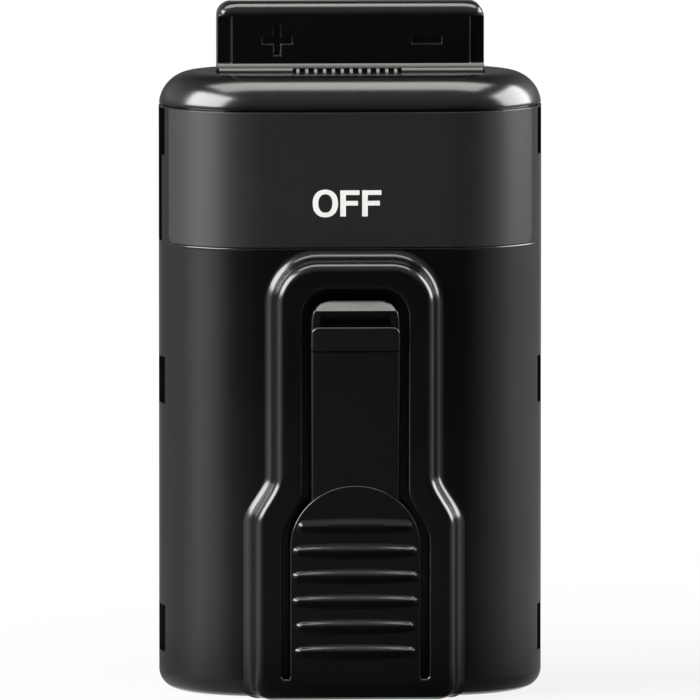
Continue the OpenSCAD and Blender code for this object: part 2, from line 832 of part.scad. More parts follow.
module washer_right() {
    color("#e8e2d2") in_place(1) cell_washer();
}

module series_strip() {
    color(nickel) placed() union() {
        block(0, -strip_w / 2, socket_z - strip_t, [2 * (cell_x + strip_w / 2), strip_w, strip_t]);
        for (side = [-1, 1]) translate([side * cell_x, 0, socket_z]) cylinder(r = weld_r, h = sleeve_t);
    }
}

// A strip that is welded to the upper end of a cell and rises to the top of the board.
module riser(side) {
    color(nickel) placed() union() {
        block(side * cell_x, -riser_y, cell_top, [tab_w, riser_y + tab_w / 2, strip_t]);
        block(side * cell_x, -riser_y, cell_top, [tab_w, strip_t, board_top + strip_t - cell_top]);
        block(side * cell_x, -riser_y - fold_l, board_top, [tab_w, fold_l + strip_t, strip_t]);
    }
}

module positive_strip() {
    riser(-1);
}

module negative_strip() {
    riser(1);
}

module balance_lead() {
    color("#d8d8d8") placed() translate([0, valley_y, socket_z]) cylinder(r = lead_r, h = board_z - socket_z);
}

module thermistor() {
    bead_z = cell_z + cell_len / 2;
    color("#b9772e") placed() translate([0, -valley_y, bead_z]) union() {
        cylinder(r = bead_r, h = bead_l);
        for (x = [-bead_r / 2, bead_r / 2])
            translate([x, 0, bead_l - over]) cylinder(r = bead_r / 3, h = board_z - bead_z - bead_l + over);
    }
}

module protection_board() {
    color("#2f6b45") placed() difference() {
        translate([0, 0, board_z])
            linear_extrude(board_t) polygon(rounded_rectangle(board_l, board_w, board_r));
        for (x = [-post_x, post_x], y = [-post_y, post_y])
            translate([x, y, board_z - over]) cylinder(r = pin_r + fit, h = board_t + 2 * over);
        for (side = [-1, 1])
            block(side * cell_x, -riser_y - fit, board_z - over,
                [tab_w + 2 * fit, strip_t + 2 * fit, board_t + 2 * over]);
    }
}

// A moulded chip body on the board, with its upper edges sloped.
function chip_side(w, h) = [[-w / 2, 0], [w / 2, 0], [w / 2 - chip_slope, h], [chip_slope - w / 2, h]];
module chip(x, y, w, d, h) {
    translate([x, y, board_top]) intersection() {
        along_x(chip_side(d, h), w);
        along_y(chip_side(w, h), -d, d);
    }
}

module switch_chips() {
    x = (switch_w + switch_space) / 2;
    y = -(switch_d + row_space) / 2;
    color("#262627") placed() for (side = [-1, 1]) chip(side * x, y, switch_w, switch_d, switch_h);
}

module control_chip() {
    color("#262627") placed() chip(0, (control_d + row_space) / 2, control_w, control_d, control_h);
}

module shunt_resistor() {
    x = (contact_pitch + contact_w + shunt_w) / 2 + shunt_space;
    color("#565654") placed() chip(x, 0, shunt_w, shunt_l, shunt_h);
}

front_shell();
rear_shell();
top_cap();
terminal_block();
contact_positive();
contact_negative();
latch();
label();
foam_pad();
lower_cradle();
upper_cradle();
cell_left();
cell_right();
sleeve_left();
sleeve_right();
washer_left();
washer_right();
series_strip();
positive_strip();
negative_strip();
balance_lead();
thermistor();
protection_board();
switch_chips();
control_chip();
shunt_resistor();
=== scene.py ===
"""Looks of a slide-in tool battery pack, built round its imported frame.

Sizes are in millimetres unless a name says otherwise. Depths are measured from the split between
the two shells, with the latch towards the negative side, and heights from the base. The pieces are
moved into the frame and turned into metres when their meshes are made.
"""

import logging
import math
from dataclasses import dataclass
from enum import Enum

import bmesh
import bpy
import numpy as np
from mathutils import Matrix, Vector


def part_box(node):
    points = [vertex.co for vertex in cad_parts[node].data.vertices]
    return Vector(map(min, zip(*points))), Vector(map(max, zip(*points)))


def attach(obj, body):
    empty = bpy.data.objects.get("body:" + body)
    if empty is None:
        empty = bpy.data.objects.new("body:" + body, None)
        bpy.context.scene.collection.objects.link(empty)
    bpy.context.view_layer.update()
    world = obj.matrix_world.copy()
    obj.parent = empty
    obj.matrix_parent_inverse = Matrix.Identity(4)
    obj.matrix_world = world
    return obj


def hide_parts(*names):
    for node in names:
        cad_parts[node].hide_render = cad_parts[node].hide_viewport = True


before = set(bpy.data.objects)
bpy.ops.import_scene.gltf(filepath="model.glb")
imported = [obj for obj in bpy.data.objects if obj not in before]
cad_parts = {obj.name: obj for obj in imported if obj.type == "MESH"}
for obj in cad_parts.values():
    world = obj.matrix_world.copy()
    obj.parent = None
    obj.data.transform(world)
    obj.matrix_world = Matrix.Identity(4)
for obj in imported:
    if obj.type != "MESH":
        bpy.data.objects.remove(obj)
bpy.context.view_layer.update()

Array = np.ndarray
Socket = bpy.types.NodeSocket
Tree = bpy.types.NodeTree

MM = 0.001
FLAT_STEPS = 6
RISE_BURY = 0.05
WELD_GAP = 0.001
LOG = logging.getLogger("battery_pack")


class Body(Enum):
    """The two groups of pieces that move as one."""

    HOUSING = "housing"
    LATCH = "latch"


class Half(Enum):
    """The two halves of the oval body, by the sign of their depth."""

    FRONT = -1
    REAR = 1


class Slot(Enum):
    """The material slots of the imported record."""

    BLACK = "moulded_black"
    LABEL = "printed_label"
    NICKEL = "nickel_plate"
    FOAM = "foam"
    CRADLE = "cradle_plastic"
    CAN = "cell_can"
    SLEEVE = "shrink_sleeve"
    PAPER = "insulating_paper"
    JACKET = "lead_jacket"
    BEAD = "epoxy_bead"
    BOARD = "circuit_board"
    CHIP = "chip_plastic"


# Numbers and curves

def linear(colour: str) -> tuple[float, float, float, float]:
    """Turns an sRGB hex colour into linear red, green, blue and alpha.

    Args:
        colour: Six hex digits after a number sign.

    Returns:
        The four linear values.
    """
    shares = np.array([int(colour[i:i + 2], 16) / 255 for i in (1, 3, 5)])
    low = shares / 12.92
    high = ((shares + 0.055) / 1.055) ** 2.4
    return (*np.where(shares <= 0.04045, low, high).tolist(), 1.0)


def ease(share: Array) -> Array:
    """Rises from 0 to 1 with flat ends: three squares less two cubes."""
    share = np.clip(share, 0.0, 1.0)
    return share * share * (3 - 2 * share)


def arc(x: float, y: float, r: float, start: float, stop: float, steps: int) -> Array:
    """Points along an arc: the centre plus the radius times cosine and sine.

    Args:
        x: Centre across.
        y: Centre upwards.
        r: Radius.
        start: First angle in degrees.
        stop: Last angle in degrees.
        steps: Number of steps.

    Returns:
        An array of steps + 1 points.
    """
    turn = np.radians(np.linspace(start, stop, steps + 1))
    return np.stack([x + r * np.cos(turn), y + r * np.sin(turn)], -1)


def line(start: tuple[float, float], stop: tuple[float, float], steps: int) -> Array:
    """Evenly spaced points from one place to another, both included."""
    return np.linspace(start, stop, steps + 1)


def edge_drop(distance: Array, r: float) -> Array:
    """Fall of a rounded edge: the radius less the height of a quarter circle at a distance inside it."""
    inside = np.clip(r - distance, 0.0, r)
    return r - np.sqrt(r * r - inside * inside)


# Solids

@dataclass
class Solid:
    """A closed skin: corner points and the quads that join them, with the rounding of its edges."""

    points: Array
    faces: Array
    edge: float = 0.0

    def outward(self) -> "Solid":
        """Turns the quads round where the volume that they enclose comes out negative."""
        a, b, c, d = (self.points[self.faces[:, i]] for i in range(4))
        volume = np.sum(a * (np.cross(b, c) + np.cross(c, d)))
        if volume < 0:
            self.faces = self.faces[:, ::-1]
        return self


def centres(lines: Array) -> Array:
    """Middles between neighbouring lines."""
    return (lines[1:] + lines[:-1]) / 2


def all_cells(points: Array) -> Array:
    """True for each cell between the points of a three-way grid."""
    return np.ones([n - 1 for n in points.shape[:3]], bool)


def cell_solid(points: Array, filled: Array | None = None, edge: float = 0.0) -> Solid:
    """Skin of the filled cells of a bent block of cells.

    A cell lies between neighbouring points of a three-way grid. A quad is made wherever a filled
    cell meets an empty one or the end of the block, so steps and cut-outs are cells left empty.

    Args:
        points: Grid of points, of shape (i, j, k, 3).
        filled: True for each solid cell, of shape (i - 1, j - 1, k - 1). Left out, all are solid.
        edge: Rounding of the edges.

    Returns:
        The closed skin.
    """
    filled = all_cells(points) if filled is None else filled
    index = np.arange(points[..., 0].size).reshape(points.shape[:3])
    quads = []
    for axis in range(3):
        cells = np.moveaxis(filled.astype(int), axis, 0)
        ids = np.moveaxis(index, axis, 0)
        step = np.diff(np.pad(cells, [(1, 1), (0, 0), (0, 0)]), axis=0)
        quad = np.stack([ids[:, :-1, :-1], ids[:, 1:, :-1], ids[:, 1:, 1:], ids[:, :-1, 1:]], -1)
        turned = quad[..., ::-1]
        ahead, behind = (turned, quad) if axis == 1 else (quad, turned)
        quads += [ahead[step == -1], behind[step == 1]]
    used, faces = np.unique(np.concatenate(quads), return_inverse=True)
    return Solid(points.reshape(-1, 3)[used], faces.reshape(-1, 4), edge).outward()


def block(xs: Array, ys: Array, zs: Array) -> Array:
    """Grid of points of a straight block, from its lines across, in depth and in height."""
    return np.stack(np.meshgrid(xs, ys, zs, indexing="ij"), -1)


def slab(x: Array, back: Array, front: Array, z: Array) -> Solid:
    """A plate over a grid of places across and in height, from the depths of its back and its front."""
    return cell_solid(np.stack([np.stack([x, y, z], -1) for y in (back, front)], 1))


def bar(start: float, stop: float, back: float, front: Array, zs: Array) -> Solid:
    """A straight bar across, from the depth of its back and that of its front at each height."""
    x, z = np.meshgrid([start, stop], zs, indexing="ij")
    return slab(x, np.full_like(x, back), front + 0 * x, z)


def ring_solid(rings: Array, loop: bool = False, edge: float = 0.0) -> Solid:
    """Skin through a row of closed rings of equal count.

    Quads join each ring to the next. In a loop the last ring joins the first. Otherwise the end
    rings, whose lists are mirror images about the middle plane, are closed from side to side.

    Args:
        rings: Points of shape (rings, points of a ring, 3).
        loop: Whether the row of rings closes on itself.
        edge: Rounding of the edges.

    Returns:
        The closed skin.
    """
    count, around = rings.shape[:2]
    index = np.arange(count * around).reshape(count, around)
    below = index if loop else index[:-1]
    above = np.roll(index, -1, 0) if loop else index[1:]
    sides = np.stack([below, np.roll(below, -1, 1), np.roll(above, -1, 1), above], -1)
    quads = [sides.reshape(-1, 4)]
    if not loop:
        i = np.arange(around // 2 - 1)
        across = np.stack([i, i + 1, around - 2 - i, around - 1 - i], -1)
        quads += [index[0][across][:, ::-1], index[-1][across]]
    return Solid(rings.reshape(-1, 3), np.concatenate(quads), edge).outward()


def mirrored(half: Array) -> Array:
    """Completes a half outline on the right by its mirror image, as one closed list."""
    return np.concatenate([half, half[::-1] * [-1, 1]])


# Layout

@dataclass(frozen=True)
class Layout:
    """Main planes and levels of the pack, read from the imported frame."""

    half_w: float
    rear_y: float
    face_y: float
    seam_z: float
    cap_z: float
    head_z: float
    head_foot: float
    tip_z: float
    label_foot: float
    label_top: float
    round_r: float = 13.5

    @classmethod
    def from_frame(cls) -> "Layout":
        """Reads the boxes of the nodes and measures depths from the split between the shells."""
        shell, rear, cap, head, latch, label = (
            [np.array(corner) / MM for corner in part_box(name)]
            for name in ("front_shell", "rear_shell", "top_cap", "terminal_block", "latch", "label"))
        split = rear[1][1] - cls.round_r
        return cls(half_w=rear[1][0], rear_y=rear[1][1], face_y=shell[0][1] - split,
                   seam_z=shell[1][2], cap_z=cap[1][2], head_z=head[1][2], head_foot=head[0][2],
                   tip_z=latch[1][2], label_foot=label[0][2], label_top=label[1][2])

    @property
    def split_y(self) -> float:
        """Depth of the split between the shells in the frame."""
        return self.rear_y - self.round_r

    @property
    def end_x(self) -> float:
        """Distance of the centres of the end arcs from the middle plane."""
        return self.half_w - self.round_r

    def half(self, angles: Array, half: Half) -> Array:
        """Stations along half of the oval, from its left end over the flat side to its right end.

        Args:
            angles: Degrees from the split, rising to 90 where the flat side starts.
            half: Which half of the oval.

        Returns:
            For each station the middle of its arc across, and its outward direction across and in depth.
        """
        turn = np.radians(angles)
        flat = np.linspace(-self.end_x, self.end_x, FLAT_STEPS + 1)[1:-1]
        middle = np.concatenate([np.full(len(turn), -self.end_x), flat, np.full(len(turn), self.end_x)])
        out_x = np.concatenate([-np.cos(turn), np.zeros(len(flat)), np.cos(turn)[::-1]])
        out_y = np.concatenate([np.sin(turn), np.ones(len(flat)), np.sin(turn)[::-1]])
        return np.stack([middle, out_x, half.value * out_y], -1)

    def whole(self, angles: Array) -> Array:
        """Stations once round the oval: the front half, then the rear half backwards."""
        front = self.half(angles, Half.FRONT)
        rear = self.half(angles, Half.REAR)[::-1]
        return np.concatenate([front, rear[1:-1]])


def along(stations: Array, radius: Array, height: Array) -> Array:
    """Carries a profile along the oval: the middle of each arc plus the radius times its direction.

    Args:
        stations: Stations of shape (i, 3).
        radius: Radii of any shape.
        height: Heights of the same shape.

    Returns:
        Points of shape (i, *shape, 3).
    """
    shape = (-1,) + (1,) * np.ndim(radius)
    middle, out_x, out_y = (stations[:, i].reshape(shape) for i in range(3))
    x = middle + out_x * radius
    return np.stack([x, out_y * radius + 0 * middle, height + 0 * x], -1)


# Finishes

def add_node(tree: Tree, kind: str, values: dict | None = None, links: dict | None = None,
             **settings: object) -> bpy.types.Node:
    """Adds a shader node.

    Args:
        tree: The node tree.
        kind: Type name of the node.
        values: Values of its sockets, by name or number.
        links: Sockets to link into its sockets, by name or number.
        **settings: Properties of the node.

    Returns:
        The node.
    """
    made = tree.nodes.new(kind)
    for key, value in settings.items():
        setattr(made, key, value)
    for key, value in (values or {}).items():
        made.inputs[key].default_value = value
    for key, source in (links or {}).items():
        tree.links.new(source, made.inputs[key])
    return made


@dataclass(frozen=True)
class Finish:
    """A surface finish: its colours and gloss, and the sizes of its patterns in millimetres."""

    name: str
    slot: Slot
    colour: str
    second: str
    cloud_mm: float
    roughness: float
    spread: float
    haze_mm: float
    grain_mm: float
    grain_depth_mm: float
    metallic: float = 0.0
    ior: float = 1.5
    drawn: tuple[float, float, float] = (1.0, 1.0, 1.0)

    def material(self) -> bpy.types.Material:
        """Builds the material the first time and hands out the same one after that."""
        found = bpy.data.materials.get(self.name)
        if found:
            return found
        made = bpy.data.materials.new(self.name)
        made.use_nodes = True
        tree = made.node_tree
        tree.nodes.clear()
        where = add_node(tree, "ShaderNodeTexCoord").outputs["Object"]
        place = add_node(tree, "ShaderNodeMapping", {"Scale": self.drawn}, {"Vector": where}).outputs[0]
        relief = add_node(tree, "ShaderNodeBump", {"Strength": 1.0, "Distance": self.grain_depth_mm * MM},
                          {"Height": self.relief(tree, place)})
        shader = add_node(
            tree, "ShaderNodeBsdfPrincipled", {"Metallic": self.metallic, "IOR": self.ior},
            {"Base Color": self.paint(tree, place), "Roughness": self.gloss(tree, place),
             "Normal": relief.outputs[0]})
        add_node(tree, "ShaderNodeOutputMaterial", links={"Surface": shader.outputs[0]})
        return made

    def paint(self, tree: Tree, place: Socket) -> Socket:
        """Colour that drifts between the two colours in slow clouds."""
        values = {"Scale": 1 / (self.cloud_mm * MM), "Detail": 3.0}
        cloud = add_node(tree, "ShaderNodeTexNoise", values, {"Vector": place}).outputs["Fac"]
        colours = {6: linear(self.colour), 7: linear(self.second)}
        return add_node(tree, "ShaderNodeMix", colours, {0: cloud}, data_type="RGBA").outputs[2]

    def gloss(self, tree: Tree, place: Socket) -> Socket:
        """Roughness that drifts by the spread about its middle value, as handling leaves it."""
        values = {"Scale": 1 / (self.haze_mm * MM), "Detail": 4.0}
        haze = add_node(tree, "ShaderNodeTexNoise", values, {"Vector": place}).outputs["Fac"]
        limits = {"To Min": self.roughness - self.spread, "To Max": self.roughness + self.spread}
        return add_node(tree, "ShaderNodeMapRange", limits, {"Value": haze}).outputs[0]

    def relief(self, tree: Tree, place: Socket) -> Socket:
        """Height of the fine grain."""
        values = {"Scale": 1 / (self.grain_mm * MM), "Detail": 2.0}
        return add_node(tree, "ShaderNodeTexNoise", values, {"Vector": place}).outputs["Fac"]


@dataclass(frozen=True)
class MouldedFinish(Finish):
    """Moulded plastic with a few specks of dust on it."""

    dust_mm: float = 3.4
    speck_mm: float = 0.07
    dust: str = "#77767a"

    def paint(self, tree: Tree, place: Socket) -> Socket:
        """The cloudy colour, with a pale speck close to each cell point of a wide cell pattern."""
        base = super().paint(tree, place)
        values = {"Scale": 1 / (self.dust_mm * MM)}
        cell = add_node(tree, "ShaderNodeTexVoronoi", values, {"Vector": place}).outputs["Distance"]
        speck = add_node(tree, "ShaderNodeMath", {1: self.speck_mm / self.dust_mm}, {0: cell},
                         operation="LESS_THAN").outputs[0]
        colours = {7: linear(self.dust)}
        return add_node(tree, "ShaderNodeMix", colours, {0: speck, 6: base}, data_type="RGBA").outputs[2]


@dataclass(frozen=True)
class CellFinish(Finish):
    """Foam, whose skin is broken by small open bubbles."""

    def relief(self, tree: Tree, place: Socket) -> Socket:
        """Distance from the middle of each bubble."""
        values = {"Scale": 1 / (self.grain_mm * MM)}
        return add_node(tree, "ShaderNodeTexVoronoi", values, {"Vector": place}).outputs["Distance"]


@dataclass(frozen=True)
class BoardFinish(Finish):
    """Solder mask over copper tracks, which show as paler raised bands."""

    track_mm: float = 1.6
    track_share: float = 0.4

    def relief(self, tree: Tree, place: Socket) -> Socket:
        """Square bands of copper under the mask."""
        values = {"Scale": 1 / (self.track_mm * MM), "Randomness": 0.0}
        return add_node(tree, "ShaderNodeTexVoronoi", values, {"Vector": place}, distance="CHEBYCHEV",
                        feature="F1").outputs["Distance"]

    def paint(self, tree: Tree, place: Socket) -> Socket:
        """The second colour over the bands, the first between them."""
        bands = self.relief(tree, place)
        inside = add_node(tree, "ShaderNodeMath", {1: self.track_share}, {0: bands},
                          operation="LESS_THAN").outputs[0]
        colours = {6: linear(self.colour), 7: linear(self.second)}
        return add_node(tree, "ShaderNodeMix", colours, {0: inside}, data_type="RGBA").outputs[2]


# ABS moulded in a polished tool: deep black and glossy, with a faint orange peel and hazy patches.
GLOSS_ABS = MouldedFinish("abs_black_gloss_moulded", Slot.BLACK, "#030304", "#060607", 14.0,
                          0.21, 0.05, 9.0, 0.9, 0.0012, ior=1.54)
# The same ABS where thumbs have rubbed it: the gloss is a little broken.
WORN_ABS = MouldedFinish("abs_black_thumb_worn", Slot.BLACK, "#040405", "#070708", 8.0,
                         0.24, 0.06, 5.0, 0.6, 0.0012, ior=1.54)
# Polyester film printed dark grey: an even satin sheen with a very fine tooth.
DARK_FILM = Finish("polyester_film_printed_grey", Slot.LABEL, "#1b1a1c", "#1f1e20", 12.0,
                   0.27, 0.02, 7.0, 0.25, 0.0015, ior=1.75)
# White screen ink: matt, thick enough to hide the film.
WHITE_INK = Finish("screen_ink_white", Slot.LABEL, "#e6e5e2", "#dddcd8", 1.2,
                   0.5, 0.04, 0.8, 0.2, 0.002)
# Nickel plate on rolled strip: pale warm metal with fine lines along the rolling direction.
NICKEL = Finish("nickel_plate_rolled", Slot.NICKEL, "#c4c2b9", "#b3b0a6", 4.0,
                0.27, 0.07, 1.0, 0.35, 0.002, metallic=1.0, drawn=(1.0, 1.0, 0.06))
# Closed-cell foam, cut: dull, with small bubbles.
FOAM = CellFinish("eva_foam_cut", Slot.FOAM, "#2b2c2f", "#35363a", 3.0,
                  0.93, 0.04, 2.0, 0.8, 0.15)
# Polycarbonate moulded in a textured tool: grey with a soft sheen.
CRADLE = Finish("polycarbonate_grey_moulded", Slot.CRADLE, "#3a3b3d", "#414245", 9.0,
                0.42, 0.06, 5.0, 0.5, 0.01, ior=1.58)
# Steel can, drawn and nickel plated: bright, with lines along its length.
CAN = Finish("steel_can_drawn_plated", Slot.CAN, "#bcbab4", "#a9a7a1", 6.0,
             0.24, 0.06, 1.4, 0.4, 0.002, metallic=1.0, drawn=(1.0, 1.0, 0.05))
# Shrink film pulled tight: glossy and a little wavy.
SLEEVE = Finish("pvc_film_shrunk", Slot.SLEEVE, "#2f6f8f", "#357a9b", 10.0,
                0.28, 0.06, 6.0, 2.5, 0.01, ior=1.53)
# Fibre paper: dry and flecked.
PAPER = Finish("fibre_paper_pressed", Slot.PAPER, "#c9c3a8", "#b8b194", 0.7,
               0.85, 0.05, 1.2, 0.15, 0.01)
# Silicone jacket: soft satin.
JACKET = Finish("silicone_jacket_extruded", Slot.JACKET, "#c8c8c6", "#d6d6d3", 3.0,
                0.5, 0.06, 2.0, 0.3, 0.004, ior=1.42)
# Dipped epoxy: a smooth wet-looking drop.
BEAD = Finish("epoxy_bead_dipped", Slot.BEAD, "#22201d", "#2c2a26", 1.5,
              0.18, 0.05, 1.0, 0.6, 0.01, ior=1.55)
# Glass epoxy board under green solder mask.
BOARD = BoardFinish("glass_epoxy_solder_masked", Slot.BOARD, "#1f5a34", "#2f7a46", 4.0,
                    0.33, 0.06, 2.0, 0.4, 0.03, ior=1.55)
# Chip moulding compound: matt black with a fine sandy grain.
CHIP = Finish("epoxy_compound_moulded", Slot.CHIP, "#1c1c1d", "#242425", 1.0,
              0.62, 0.06, 0.8, 0.1, 0.006, ior=1.55)


# Pieces

ROUND_STEPS = 3
SHARP_ANGLE = math.radians(35)


def mesh_of(name: str, solids: list[Solid], shift: Array) -> bpy.types.Mesh:
    """Rounds the edges of each solid and puts them into one mesh, in metres.

    Args:
        name: Name of the mesh.
        solids: The closed skins.
        shift: How far they are moved, in millimetres.

    Returns:
        The mesh, shaded smooth.
    """
    whole = bmesh.new()
    for solid in solids:
        part = bpy.data.meshes.new(name + "_part")
        part.from_pydata(((solid.points + shift) * MM).tolist(), [], solid.faces.tolist())
        if solid.edge:
            made = bmesh.new()
            made.from_mesh(part)
            sharp = [e for e in made.edges if e.calc_face_angle(0.0) > SHARP_ANGLE]
            bmesh.ops.bevel(made, geom=sharp, offset=solid.edge * MM, segments=ROUND_STEPS,
                            profile=0.5, affect="EDGES", clamp_overlap=True)
            made.to_mesh(part)
            made.free()
        whole.from_mesh(part)
        bpy.data.meshes.remove(part)
    mesh = bpy.data.meshes.new(name)
    whole.to_mesh(mesh)
    whole.free()
    mesh.shade_smooth()
    mesh.set_sharp_from_angle(angle=SHARP_ANGLE)
    return mesh


def add_piece(name: str, solids: list[Solid], finish: Finish, layout: Layout, body: Body,
              nodes: tuple[str, ...] = ()) -> None:
    """Makes a piece of the pack, dresses it and lets it ride on its body.

    Args:
        name: Name of the piece.
        solids: Its closed skins.
        finish: Its finish.
        layout: The layout, whose split gives the place in the frame.
        body: The body that it moves with.
        nodes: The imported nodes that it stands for.
    """
    mesh = mesh_of(name, solids, np.array([0.0, layout.split_y, 0.0]))
    mesh.materials.append(finish.material())
    piece = bpy.data.objects.new(name, mesh)
    bpy.context.scene.collection.objects.link(piece)
    weighted = piece.modifiers.new("even_shading", "WEIGHTED_NORMAL")
    weighted.keep_sharp = True
    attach(piece, body.value)
    if nodes:
        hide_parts(*nodes)
    LOG.info("piece %s: %d faces", name, len(mesh.polygons))


def dress_node(name: str, finish: Finish, edge: float = 0.0) -> None:
    """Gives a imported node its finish, and rounds its edges where asked."""
    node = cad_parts[name]
    node.data.materials.clear()
    node.data.materials.append(finish.material())
    if edge:
        weld = node.modifiers.new("joined_corners", "WELD")
        weld.merge_threshold = WELD_GAP * MM
        bevel = node.modifiers.new("rounded_edges", "BEVEL")
        bevel.width = edge * MM
        bevel.segments = ROUND_STEPS
        bevel.limit_method = "ANGLE"
        bevel.angle_limit = SHARP_ANGLE
    LOG.info("node %s: %s", name, finish.name)


@dataclass(frozen=True)
class Bottle:
    """Bottle outline: a wide foot with rounded corners that eases into a neck with a rounded top."""

    neck: float
    wide: float
    top: float
    r: float
    flare_z: float
    flare: float
    corner: float
    seam: float = 0.4

    def outline(self, out: float, foot: float) -> Array:
        """Closed list of points across and in height.

        Args:
            out: How far the sides and the top are let out.
            foot: Height of the foot.

        Returns:
            The points, from the middle of the foot over the right side and back over the left one.
        """
        neck, wide, top = self.neck + out, self.wide + out, self.top + out
        c, r = self.corner, self.r + out
        share = np.linspace(0, 1, 19)[1:]
        narrow = self.flare_z + self.flare
        shoulder = np.stack([wide + (neck - wide) * ease(share), self.flare_z + self.flare * share], -1)
        half = np.concatenate([
            line((self.seam, foot), (wide - c, foot), 8), arc(wide - c, foot + c, c, -90, 0, 8)[1:],
            line((wide, foot + c), (wide, self.flare_z), 10)[1:], shoulder,
            line((neck, narrow), (neck, top - r), 10)[1:],
            arc(neck - r, top - r, r, 0, 90, 18)[1:], line((neck - r, top), (self.seam, top), 6)[1:]])
        return mirrored(half)


@dataclass(frozen=True)
class Shells:
    """The two halves of the housing, with the raised surround of the latch on the front one."""

    layout: Layout
    wall: float = 2.0
    floor: float = 2.0
    foot_r: float = 2.5
    inner_foot_r: float = 1.5
    slit: float = 0.02
    notch_h: float = 6.1
    notch_reach: float = 4.2
    notch_levels: tuple[float, ...] = (5.1, 37.65, 70.2)
    recess_reach: float = 3.0
    recess_depth: float = 0.8
    tab_t: float = 1.0
    tab_gap: float = 0.1
    tab_slack: float = 0.5
    edge: float = 0.1
    rows: tuple[float, ...] = (24.0, 51.0)
    boss: Bottle = Bottle(neck=9.1, wide=11.8, top=56.0, r=4.4, flare_z=22.9, flare=6.5, corner=2.2)
    boss_slope: float = 3.0
    boss_hollow: float = 1.6
    boss_crown: float = 1.2
    boss_foot: float = 0.8
    foot_power: int = 6
    slot: Bottle = Bottle(neck=6.9, wide=9.6, top=53.7, r=3.5, flare_z=20.8, flare=7.0, corner=0.5)
    slot_foot: float = 2.95
    slot_edge: float = 0.3
    bury: float = 0.5
    step_r: float = 0.22
    step_sunk: float = 0.1
    step_drop: float = 0.3
    step_start: float = 24.0

    def angle_of(self, reach: float) -> float:
        """Angle on the end arc at a distance in front of the split, in degrees."""
        return math.degrees(math.asin(reach / self.layout.round_r))

    def wall_r(self, z: Array) -> Array:
        """Radius of the outside at a height: drawn in by a quarter circle at the foot."""
        return self.layout.round_r - edge_drop(z, self.foot_r)

    def fall_back(self, x: Array) -> Array:
        """How far the front wall falls back from its flat middle, by the circle of the end arc."""
        r = self.layout.round_r
        past = np.clip(np.abs(x) - self.layout.end_x, 0.0, r)
        return r - np.sqrt(r * r - past * past)

    def profile(self, levels: Array) -> tuple[Array, Array]:
        """Radii and heights of the wall in layers, from under the floor up to the seam.

        Args:
            levels: Heights of the lines across the wall.

        Returns:
            Radii and heights, each of shape (lines, layers).
        """
        r = self.layout.round_r
        inner_r = r - self.wall
        foot = arc(r - self.foot_r, self.foot_r, self.foot_r, -90, 0, 10)
        bend = self.inner_foot_r
        inner_foot = arc(inner_r - bend, self.floor + bend, bend, -90, 0, 10)
        plate = line((self.slit, 0.0), (r - self.foot_r, 0.0), 3)[:-1]
        outer = np.concatenate([plate, foot, np.stack([self.wall_r(levels), levels], -1)])
        upright = np.stack([np.full(len(levels), inner_r), levels], -1)
        inner = np.concatenate([plate + [0, self.floor], inner_foot, upright])
        shares = np.array([0, self.tab_t, self.wall - self.recess_depth, self.wall]) / self.wall
        bent = inner[:, None] + (outer - inner)[:, None] * shares[:, None]
        return bent[..., 0], bent[..., 1]

    def half_shell(self, half: Half) -> Solid:
        """One shell as a bent block of cells, with the notches and tabs left out or filled."""
        layout = self.layout
        gap = self.tab_gap if half is Half.REAR else 0.0
        windows = [(z + gap, z + self.notch_h - gap) for z in self.notch_levels]
        notch = self.angle_of(self.notch_reach)
        recess = self.angle_of(self.recess_reach)
        rows = [*self.rows, layout.label_foot, layout.seam_z]
        levels = np.array(sorted(rows + [z for window in windows for z in window]))
        radius, height = self.profile(levels)
        start = self.tab_slack - notch if half is Half.REAR else 0.0
        ahead = [start, start / 2, 0.0] if half is Half.REAR else [0.0]
        near = [recess / 4, recess / 2, 3 * recess / 4, recess, (recess + notch) / 2, notch]
        angles = np.array(ahead + near + list(np.linspace(notch, 90, 22)[1:]))
        points = along(layout.half(angles, half), radius, height)
        middle = centres(angles)
        turned = np.concatenate([middle, np.full(FLAT_STEPS, 90.0), middle[::-1]])
        left = np.arange(len(turned)) < len(middle)
        level = centres(height[:, -1])
        inside = np.any([(level > low) & (level < high) for low, high in windows], axis=0)
        filled = all_cells(points)
        if half is Half.FRONT:
            filled[np.ix_(turned < notch, inside)] = False
            strip = (level > layout.label_foot) & (level < windows[-1][0])
            filled[np.ix_(left & (turned < recess), strip, [2])] = False
        else:
            filled[turned < 0] = False
            filled[np.ix_(turned < 0, inside, [0])] = True
        return cell_solid(points, filled, self.edge)

    def flank(self, height: float) -> Array:
        """Outward distances and rises up the flank: a hollow arc out of the wall, then a round one.

        They turn until one straight line touches both.

        Args:
            height: Height of the raised face over the wall.

        Returns:
            Points of distance and rise.
        """
        low_r, high_r, run = self.boss_hollow, self.boss_crown, self.boss_slope
        rise = height - low_r - high_r
        turn = math.atan2(rise, run) + math.asin(min(1.0, (low_r + high_r) / math.hypot(run, rise)))
        steep = math.degrees(turn)
        hollow = arc(run, low_r - RISE_BURY, low_r, 270, 270 - steep, 14)
        crown = arc(0.0, height - high_r, high_r, 90 - steep, 90, 14)
        return np.concatenate([hollow, crown])

    def surround(self) -> Solid:
        """The raised surround: rings of the bottle outline from inside the wall up its flank to the
        raised face, over the rounded edge of the slot and down to the floor of the slot.
        """
        r = self.layout.round_r
        height = -r - self.layout.face_y
        rings = []

        def add(outline: Array, y: Array | float) -> None:
            """Adds a ring at a depth."""
            rings.append(np.stack([outline[:, 0], y + 0 * outline[:, 0], outline[:, 1]], -1))

